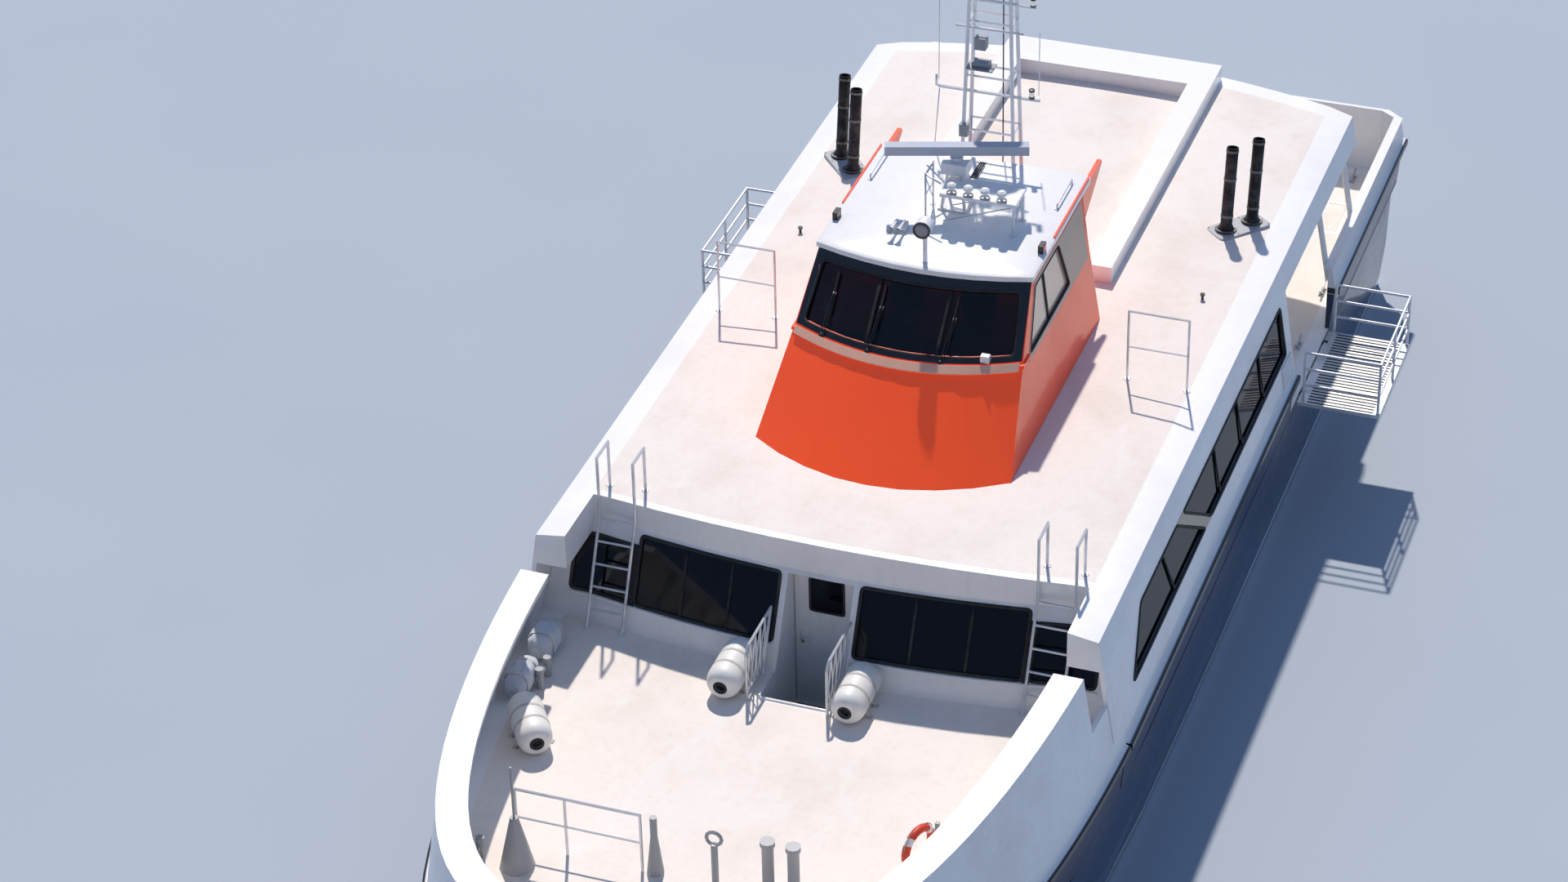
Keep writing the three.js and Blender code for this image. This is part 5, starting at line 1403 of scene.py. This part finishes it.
def makeRoofGear():
    feet = []
    for x, wide in (roofGear["frames"], roofGear["ladder"]):
        feet += [(x, hand * y, float(roofTop(y)) - 0.004) for y in wide for hand in (1, -1)]
    low, wide = boat["foreDeck"] - 0.003, roofGear["ladder"][1]
    feet += [(roofGear["ladderFoot"], hand * y, low) for y in wide for hand in (1, -1)]
    make("rail_flanges", flanges(feet, 0.05, 0.012), "rail")
    post = [(0.02, 0), (0.02, 0.07), (0.035, 0.08), (0.035, 0.1), (0.0, 0.1)]
    make("roof_posts", bothHands(turned(post, roofGear["post"], sides=16)), "black")


makeRoofGear()

# Exhausts: a bolted plate under each pair of pipes, and clamps and a collar on each leaning pipe
exhausts = {"plate": (-5.17, 2.915), "along": (-0.34, 0.29), "half": (0.43, 0.21),
            "heights": (4.29, 4.34, 4.346), "boltsAlong": (-0.9, -0.3, 0.3, 0.9),
            "boltsAcross": (-0.85, 0.85), "pipes": ((-5.0, 2.77), (-5.34, 3.06)), "foot": 4.25,
            "lean": -0.17, "clamps": (0.31, 0.86, 1.28), "collar": 0.105}


def makeExhaustGear():
    middle = np.array(exhausts["plate"])
    along = np.array(exhausts["along"]) / np.hypot(*exhausts["along"])
    ways = np.array([along, (-along[1], along[0])]) * np.array(exhausts["half"])[:, None]
    outline = loop(middle + np.array(rectangle(-1, 1, -1, 1)) @ ways, 0.09)
    low, edge, top = exhausts["heights"]
    levels = [(outline, low), (outline, edge), (middle + (outline - middle) * 0.985, top)]
    levels = np.stack([spots(line[:, 0], line[:, 1], z) for line, z in levels])
    plate = surface(levels, closedColumns=True, capped=True)
    head = [(0.011, -0.002), (0.011, 0.008), (0.007, 0.011)]
    bolts = [turned(head, (*(middle + (s, t) @ ways), top), sides=6)
             for t in exhausts["boltsAcross"] for s in exhausts["boltsAlong"]]
    lean = np.array([exhausts["lean"], 0, 1.0])
    lean /= np.linalg.norm(lean)
    collar = [(0.082, -0.03), (0.10, -0.03), (0.155, -0.005), (0.155, 0.008), (0.082, 0.008)]
    rings = []
    for pipe in exhausts["pipes"]:
        foot = np.array([*pipe, exhausts["foot"]])
        rings += [band(0.082, 0.090, -0.018, 0.018, foot + lean * s, lean) for s in exhausts["clamps"]]
        rings.append(hoop(collar, foot + lean * exhausts["collar"], lean))
    make("exhaust_plates", bothHands(joined([plate] + bolts)), "plate")
    make("exhaust_clamps", bothHands(joined(rings)), "band")


makeExhaustGear()
print("stage: mast and roof")

# Cabin sides: rubber round the long windows, joints in their glass, the slanted panel between them, and
# louvres. Lines are (z, x), and a joint goes from one x at the bottom to another at the top
side = {"aft": [(2.98, -4.2), (2.98, -0.07), (3.73, 1.03), (3.73, -4.2)],
        "fore": [(2.98, 0.23), (2.98, 3.73), (3.73, 3.08), (3.73, 1.33)],
        "panel": [(2.965, -0.045), (2.965, 0.205), (3.745, 1.32), (3.745, 1.05)],
        "joints": ((-3.0, -3.0), (-1.8, -1.8), (-0.6, -0.6), (1.7, 2.0)), "jointHalf": 0.014,
        "louvres": (2.56, 2.86, 7), "louvreX": (-4.44, -3.9), "louvreHigh": 0.022}


def makeSideTrim():
    rubber = [moulding(cabinSide, side[key], 0.05, -0.02, 0.012, 0.07) for key in ("aft", "fore")]
    half = side["jointHalf"]
    for low, high in side["joints"]:
        joint = [(2.985, low - half), (2.985, low + half), (3.725, high + half), (3.725, high - half)]
        rubber.append(slab(cabinSide, joint, -0.027, -0.006, 2, 6))
    slats = [rectangle(*side["louvreX"], z, z + side["louvreHigh"]) for z in np.linspace(*side["louvres"])]
    louvres = [slab(cabinSide, swapped(slat), -0.002, 0.014, 2, 2) for slat in slats]
    make("side_window_rubber", bothHands(joined(rubber)), "rubber", smooth=True)
    make("side_panels", bothHands(slab(cabinSide, side["panel"], -0.004, 0.007, 10, 4)), "beige")
    make("side_vents", bothHands(joined(louvres)), "white")


makeSideTrim()

# Cabin's aft wall: panes and rubber. The window is its z and y
aftWall = {"aft": -4.61, "fore": -4.55, "window": (2.7, 3.6, 0.9, 2.2), "overlap": 0.01}


def makeAftWall():
    z0, z1, y0, y1 = aftWall["window"]
    edge, line = aftWall["overlap"], rectangle(z0, z1, y0, y1)
    middle = (aftWall["aft"] + aftWall["fore"]) / 2
    pane = slab(facingAft(middle), rectangle(z0 - edge, z1 + edge, y0 - edge, y1 + edge), -0.003, 0.003, 2, 2)
    rubber = [moulding(facingAft(aftWall["aft"]), line, 0.05, -0.02, 0.01, 0.07),
              moulding(facingFore(aftWall["fore"]), swapped(line), 0.05, -0.02, 0.01, 0.07)]
    make("aft_window_panes", bothHands(pane), "glass")
    make("aft_window_rubber", bothHands(joined(rubber)), "rubber", smooth=True)


makeAftWall()
print("stage: cabin sides")

# Bulwarks: brackets under the cap and a hand rail through them. A bracket's corners are (z, inward)
bulwark = {"half": (3.883, 3.663), "bow": (11.70, 11.59), "z": (2.75, 4.02), "middleBow": 11.65,
           "middleHalf": 3.74, "frames": (6.35, 11.35, 9), "thick": 0.012,
           "bracket": ((2.76, -0.02), (4.015, -0.02), (4.015, 0.22), (3.75, 0.10), (2.76, 0.07)),
           "rail": 3.52, "railIn": 0.13, "railFrom": 5.5, "railTo": 0.78}


# A point of the bulwark's inner face: x = narrow + (bow - narrow) * sin(turn), and
# y = half * cos(turn)^(2 * bluntness).
def bulwarkFace(turn, z, inward=0.0):
    half, bow = (np.interp(z, bulwark["z"], bulwark[k]) for k in ("half", "bow"))
    narrow, power = boat["narrowX"], 2 * boat["bluntness"]
    spot = lambda t: spots(narrow + (bow - narrow) * np.sin(t), half * np.cos(t) ** power, z)
    way = spot(turn + 1e-3) - spot(turn - 1e-3)
    way /= np.linalg.norm(way, axis=-1, keepdims=True)
    normal = np.stack([way[..., 1], -way[..., 0], 0 * way[..., 0]], axis=-1)
    return spot(turn) + normal * inward, way


# The turn at which the bulwark reaches x
def bulwarkTurn(x):
    return np.arcsin((x - boat["narrowX"]) / (bulwark["middleBow"] - boat["narrowX"]))


def makeBulwarkFrames():
    frames = []
    for t in bulwarkTurn(np.linspace(*bulwark["frames"])):
        corners = np.array([bulwarkFace(t, z, inward)[0] for z, inward in bulwark["bracket"]])
        way = bulwarkFace(t, 3.4)[1] * bulwark["thick"] / 2
        frames.append(surface(np.stack([corners - way, corners + way]), closedColumns=True, capped=True))
    high, inward = bulwark["rail"], bulwark["railIn"]
    first = bulwarkTurn(bulwark["railFrom"])
    last = math.acos((bulwark["railTo"] / bulwark["middleHalf"]) ** (1 / (2 * boat["bluntness"])))
    line = bulwarkFace(np.linspace(first, last, 60), np.full(60, high), inward)[0]
    rails = [sweep(line, circle(0.017, 10))]
    for t in (first + 0.04, last - 0.01):
        rails.append(bar(bulwarkFace(t, high, -0.02)[0], bulwarkFace(t, high, inward)[0]))
    make("bulwark_frames", bothHands(joined(frames)), "white", bevel=0.002)
    make("bulwark_rails", bothHands(joined(rails)), "rail", smooth=True)


makeBulwarkFrames()

# Rolled canvas inside the starboard bulwark: middle and half size of each roll, and its two straps
canvas = {"rolls": (((5.15, -3.47, 2.955), (0.33, 0.19, 0.2)), ((5.97, -3.46, 2.935), (0.36, 0.17, 0.18))),
          "power": 2.6, "straps": (-0.45, 0.45), "strap": 0.0125, "fill": 0.7}


# Each roll is a cushion whose skin is drawn in by folds that run round it and slowly twist
def makeCanvas():
    rolls, straps = [], []
    power = canvas["power"]
    turn = np.linspace(0, 2 * math.pi, 36, endpoint=False)
    shaped = lambda v: np.sign(v) * np.abs(v) ** (2 / power)
    for centre, half in canvas["rolls"]:
        points, faces = pillows(centre, half, power, 26, 44)
        local = (points - centre) / half
        around = np.arctan2(local[:, 2], local[:, 1])
        fold = 0.045 * np.sin(around * 5 + local[:, 0] * 4.0) + 0.03 * np.sin(local[:, 0] * 17 + around * 2)
        points = centre + local * half * (1 - np.abs(fold))[:, None]
        points[:, 2] = np.maximum(points[:, 2], boat["foreDeck"] + 0.001)
        rolls.append((points, faces))
        for shift in canvas["straps"]:
            wide = (1 - abs(shift) ** power) ** (1 / power)
            up = spots(0.0, half[1] * wide * shaped(np.cos(turn)), half[2] * wide * shaped(np.sin(turn)))
            line = up + centre + (shift * half[0], 0.0, 0.0)
            line[:, 2] = np.maximum(line[:, 2], boat["foreDeck"] + 0.004)
            up = up / np.linalg.norm(up, axis=1, keepdims=True)
            straps.append(sweep(line, flat(canvas["strap"], -0.002, 0.002), up, closed=True))
    cloth = make("canvas_rolls", rolls, "canvas", smooth=True)
    make("canvas_straps", straps, "webbing")


makeCanvas()
print("stage: bulwarks")

# Windlass: warping heads and gypsies on its shaft, a brake lever and bolts
windlass = {"shaft": (9.975, 3.01), "heads": 0.24, "gypsies": 0.15,
            "lever": ((9.9, 0.11, 3.11), (9.72, 0.11, 3.32)), "bolts": ((9.75, 9.97, 10.2), (-0.27, 0.27))}


def makeWindlass():
    x, z = windlass["shaft"]
    head = [(0.0, 0.0), (0.13, 0.0), (0.135, 0.012), (0.085, 0.045), (0.075, 0.085), (0.095, 0.125),
            (0.11, 0.132), (0.11, 0.145), (0.0, 0.15)]
    gypsy = [(0.10, 0.0), (0.15, 0.004), (0.15, 0.014), (0.118, 0.028), (0.15, 0.042), (0.15, 0.052),
             (0.10, 0.056)]
    shapes = [turned(profile, (x, hand * y, z), (0, hand, 0)) for hand in (1, -1)
              for profile, y in ((head, windlass["heads"]), (gypsy, windlass["gypsies"]))]
    foot, grip = windlass["lever"]
    knob = [(0.0, -0.02), (0.02, -0.01), (0.022, 0.0), (0.02, 0.01), (0.0, 0.02)]
    shapes += [bar(foot, grip, 0.011), turned(knob, np.add(grip, (0, 0, 0.01)), sides=16)]
    bolt, base = [(0.014, 0.0), (0.014, 0.03), (0.008, 0.036)], float(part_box("windlass")[0].z)
    along, across = windlass["bolts"]
    shapes += [turned(bolt, (x, y, base), sides=6) for x in along for y in across]
    make("windlass_heads", shapes, "cast")


makeWindlass()

# Bow gate: ribs and a latch
bowGate = {"ribs": (2.95, 3.22, 3.49), "aft": 11.592, "thick": 0.019, "y": (-0.60, 0.62), "latch": 0.55,
           "latchZ": 3.33}


def makeBowGate():
    (y0, y1), y, z = bowGate["y"], bowGate["latch"], bowGate["latchZ"]
    ribs = row([[bowGate["aft"], y0, low] for low in bowGate["ribs"]], (bowGate["thick"], y1 - y0, 0.03))
    make("bow_gate_ribs", ribs, "white", "bow_gate_leaf", bevel=0.003)
    latch = [boxes([11.575, y - 0.05, z - 0.03], [11.612, y + 0.05, z + 0.03]),
             bar((11.565, y, z), (11.565, y - 0.15, z), 0.009), bar((11.565, y, z), (11.6, y, z), 0.011)]
    make("bow_gate_latch", latch, "rail", "bow_gate_leaf")


makeBowGate()

# Aft deck: horned cleats on pads, at these places on both hands
cleats = {"places": ((-11.3, 3.3), (-7.9, 3.62), (-6.35, 3.62)), "high": 0.085, "horn": 0.17, "rise": 0.02,
          "legs": 0.06}


def makeCleats():
    z, t = boat["mainDeck"], np.linspace(-1, 1, 9)
    top = z + cleats["high"]
    shapes = []
    for x, y in cleats["places"]:
        shapes.append(boxes([x - 0.11, y - 0.04, z - 0.004], [x + 0.11, y + 0.04, z + 0.012]))
        shapes.append(tube(spots(x + cleats["horn"] * t, y, top + cleats["rise"] * t ** 2), 0.017, 10))
        shapes += [bar((x + s, y, z), (x + s, y, top), 0.018) for s in (-cleats["legs"], cleats["legs"])]
    make("aft_cleats", bothHands(joined(shapes)), "cast", smooth=True)


makeCleats()

# Hatches: a frame in the deck, and a lifting ring and screws on each lid. Ramps: rubber ribs and feet
hatches = {"outer": (-10.545, -9.605, 2.455, 3.445), "inner": (-10.503, -9.647, 2.497, 3.403),
           "ring": (-10.42, 2.95), "screws": ((-9.78, -10.42), (2.62, 3.28))}
ramps = {"ribs": (-6.84, -4.95, 0.075), "across": (4.09, 5.05), "rib": (0.02, 0.008),
         "feet": ((-6.86, -4.94), 5.12)}


def makeHatchesAndRamps():
    z = boat["mainDeck"]
    outer, inner = rectangle(*hatches["outer"]), rectangle(*hatches["inner"])
    frame = framePanel(lambda x, y: spots(x, y, z), outer, inner, -0.002, 0.004)
    make("hatch_frames", bothHands(frame), "rail")
    x, y = hatches["ring"]
    bow = (-0.04, 0.004), (-0.04, 0.012), (0.04, 0.012), (0.04, 0.004)
    grip = [(x, y + across, z + high) for across, high in bow]
    screw = [(0.018, -0.002), (0.018, 0.003), (0.012, 0.004)]
    lid = [boxes([x - 0.02, y - 0.06, z - 0.003], [x + 0.12, y + 0.06, z + 0.004])]
    lid.append(bent(grip, 0.008, 0.006, 8))
    lid += [turned(screw, (a, b, z), sides=16) for a in hatches["screws"][0] for b in hatches["screws"][1]]
    wide, high = ramps["rib"]
    y0, y1 = ramps["across"]
    ribs = row(spots(np.arange(*ramps["ribs"]), y0, z - 0.002), (wide, y1 - y0, high))
    along, y = ramps["feet"]
    for name, hand in hands:
        feet = flanges([(x, hand * y, z - 0.002) for x in along], 0.03, 0.01)
        make("hatch_ring_" + name, mirrored(joined(lid), hand), "rail", "hatch_" + name)
        make("ramp_ribs_" + name, mirrored(ribs, hand), "rubber", "ramp_" + name)
        make("ramp_feet_" + name, feet, "cast", "ramp_" + name)


makeHatchesAndRamps()
print("stage: decks")

# Seats: padded cushions and backs on an aluminium frame, five to a row on each side
seats = {"first": -3.5, "pitch": 0.9, "rows": 7, "inner": 0.8, "wide": 0.552, "across": 5, "floor": 1.75,
         "base": (0.212, 0.262, 0.056), "baseX": 0.215, "baseZ": 2.207, "back": (0.052, 0.258, 0.335),
         "backX": -0.006, "backZ": 2.61, "lean": 0.16, "legs": (1.35, 2.95), "beams": (0.06, 0.36),
         "beamZ": 2.13, "armZ": 2.47, "fill": 0.9}


def makeSeats():
    rows = seats["first"] + seats["pitch"] * np.arange(seats["rows"])
    across = seats["inner"] + seats["wide"] * (np.arange(seats["across"]) + 0.5)
    x, y = (k.ravel() for k in np.meshgrid(rows, across, indexing="ij"))
    x, y = np.concatenate([x, x]), np.concatenate([y, -y])
    bases, backs = spots(x + seats["baseX"], y, seats["baseZ"]), spots(x + seats["backX"], y, seats["backZ"])
    cushions = [pillows(bases, seats["base"], 4.0), pillows(backs, seats["back"], 3.6, lean=seats["lean"])]
    cloth = make("seat_cushions", cushions, "cloth", smooth=True)
    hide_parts("seats_port", "seats_starboard")
    floor, beam, arm = seats["floor"], seats["beamZ"], seats["armZ"]
    inner, outer = seats["inner"] + 0.01, seats["inner"] + seats["wide"] * seats["across"] - 0.01
    shapes = []
    for y in seats["legs"]:
        shapes.append(boxes([rows[0], y - 0.05, floor - 0.002], [rows[-1] + 0.4, y + 0.05, floor + 0.03]))
        shapes.append(row(spots(rows + 0.16, y - 0.035, floor), (0.09, 0.07, 0.37)))
        shapes.append(row(spots(rows + 0.02, y - 0.035, 2.11), (0.37, 0.07, 0.04)))
    for r in rows:
        shapes += [bar((r + x, inner, beam), (r + x, outer, beam), 0.02) for x in seats["beams"]]
        for y in (inner, outer):
            line = [(r + 0.04, y, beam), (r, y, arm), (r + 0.32, y, arm), (r + 0.34, y, beam)]
            shapes.append(bent(line, 0.05, 0.013, 8))
        y0, y1 = inner + 0.06, inner + 0.30
        grip = [(r - 0.115, y0, 2.86), (r - 0.16, y0, 2.90), (r - 0.16, y1, 2.90), (r - 0.115, y1, 2.86)]
        shapes.append(bent(grip, 0.02, 0.010, 8))
    make("seat_frames", bothHands(joined(shapes)), "rail")


makeSeats()

# Helm: a black desk with screens, a wheel, two levers and switch rows, and two padded chairs. The desk's
# section is (x, z), and screens lie on its slope by the way up it and y
helm = {"half": 1.1,
        "desk": [(0.45, 4.43), (0.45, 5.15), (0.70, 5.40), (1.05, 5.33), (1.25, 5.10), (1.35, 4.43)],
        "screens": (-0.72, 0.0, 0.72), "screen": (0.12, 0.9, 0.26), "chairs": (0.5, -0.5),
        "levers": (-0.05, 0.05),
        "hub": (0.43, 0.5, 5.0), "axis": (-0.94, 0.0, 0.34), "wheel": 0.15, "spokes": (5, 18, 32),
        "switches": (-0.95, 0.95, 24), "fill": 0.9}


def makeHelmDesk():
    section = np.array(helm["desk"])
    ends = [spots(section[:, 0], y, section[:, 1]) for y in (-helm["half"], helm["half"])]
    plinth = boxes([-0.9, -1.15, 4.34], [1.5, 1.15, 4.44])
    desk = make("helm_desk", [surface(np.stack(ends), closedColumns=True, capped=True), plinth], "desk",
                bevel=0.015, segments=3)
    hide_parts("helm")
    (x, z), (topX, topZ) = section[1:3]
    slope = lambda s, y: spots(x + (topX - x) * s, y, z + (topZ - z) * s)
    low, high, half = helm["screen"]
    screens = [rectangle(low, high, y - half, y + half) for y in helm["screens"]]
    make("helm_screens", [slab(slope, line, 0.0, 0.014, 2, 2) for line in screens], "screen")
    bezels = [moulding(slope, line, 0.03, -0.002, 0.022, 0.04) for line in screens]
    make("helm_bezels", bezels, "rubber", smooth=True)


def makeHelmControls():
    hub, axis = np.array(helm["hub"]), np.array(helm["axis"])
    turn = np.linspace(0, 2 * math.pi, 40, endpoint=False)[:, None]
    side, middle = np.array([0, 1.0, 0]), hub + axis * 0.1
    rim = middle + helm["wheel"] * (np.cos(turn) * side + np.sin(turn) * np.cross(axis, side))
    shapes = [sweep(rim, circle(0.012, 10), axis, closed=True), bar(hub, middle, 0.016)]
    shapes += [bar(middle, rim[k], 0.008) for k in helm["spokes"]]
    shapes.append(boxes([0.40, -0.14, 5.0], [0.47, 0.14, 5.13]))
    knob = [(0.0, -0.025), (0.02, -0.012), (0.022, 0.0), (0.02, 0.012), (0.0, 0.025)]
    for y in helm["levers"]:
        shapes += [bar((0.41, y, 5.10), (0.33, y, 5.22), 0.009), turned(knob, (0.33, y, 5.23), sides=16)]
    make("helm_controls", shapes, "rail", smooth=True)
    switches = spots(0.84, np.linspace(*helm["switches"]) - 0.012, 5.365)
    make("helm_switches", row(switches, (0.03, 0.024, 0.016)), "grey", bevel=0.003)


def makeChairs():
    cushions = [pillows([(-0.345, y, 4.975) for y in helm["chairs"]], (0.255, 0.26, 0.065), 4.0, 10, 24),
                pillows([(-0.635, y, 5.37) for y in helm["chairs"]], (0.06, 0.24, 0.36), 3.4, 12, 24, 0.1)]
    pads = make("helm_cushions", cushions, "cloth", smooth=True)
    post = [(0.19, 0.0), (0.19, 0.012), (0.07, 0.03), (0.05, 0.06), (0.05, 0.46), (0.12, 0.475), (0.12, 0.49)]
    shapes = []
    for y in helm["chairs"]:
        shapes.append(turned(post, (-0.35, y, 4.435), sides=28))
        shapes += [bent([(-0.58, y + s, 4.97), (-0.6, y + s, 5.2), (-0.25, y + s, 5.2)], 0.06, 0.02)
                   for s in (-0.27, 0.27)]
    make("helm_posts", shapes, "rail", smooth=True)


makeHelmDesk()
makeHelmControls()
makeChairs()
print("stage: seats and helm")

# Camera, light and floor

makeCamera()

light = {"toward": (0.561, 0.208, -0.801), "sun": 3.4, "angle": 1.2, "warmth": (1.0, 0.92, 0.84),
         "sky": (0.38, 0.57, 1.0, 1.0), "skyAhead": 0.27, "skyAstern": 0.62}


def makeLights():
    data = bpy.data.lights.new("sun", "SUN")
    data.energy = light["sun"]
    data.angle = math.radians(light["angle"])
    data.color = light["warmth"]
    sun = bpy.data.objects.new("sun", data)
    sun.rotation_mode = "QUATERNION"
    sun.rotation_quaternion = Vector(light["toward"]).to_track_quat("-Z", "Y")
    bpy.context.scene.collection.objects.link(sun)
    world = bpy.data.worlds.new("sky")
    world.use_nodes = True
    background = world.node_tree.nodes["Background"]
    background.inputs["Color"].default_value = light["sky"]
    w = Wiring(world.node_tree)
    toEye = w.add("SeparateXYZ", i0=w.add("NewGeometry").outputs["Incoming"]).outputs[0]
    sky = w.add("MapRange", i0=toEye, i1=-1.0, i2=1.0, i3=light["skyAhead"], i4=light["skyAstern"])
    w.feed(background, "Strength", sky.outputs[0])
    bpy.context.scene.world = world
    bpy.context.scene.view_settings.view_transform = "Standard"


stage = {"half": 220.0, "low": "a9b4bf", "high": "b2bcc6"}


def makeFloor():
    half = stage["half"]
    mesh = bpy.data.meshes.new("floor")
    corners = [(x, y, 0) for x, y in rectangle(-half, half, -half, half)]
    mesh.from_pydata(corners, [], [(0, 1, 2, 3)])
    floor = bpy.data.objects.new("floor", mesh)
    bpy.context.scene.collection.objects.link(floor)

    def build(w, shader):
        at, _ = w.xyz()
        cloud = w.noise(at, 0.15, 2.0, 0.5)
        w.feed(shader, "Base Color", w.blend(cloud, rgb(stage["low"]), rgb(stage["high"])))
        w.feed(shader, "Roughness", 0.85)
    mesh.materials.append(material("floorPaint", build))


makeLights()
makeFloor()
print("stage: light")
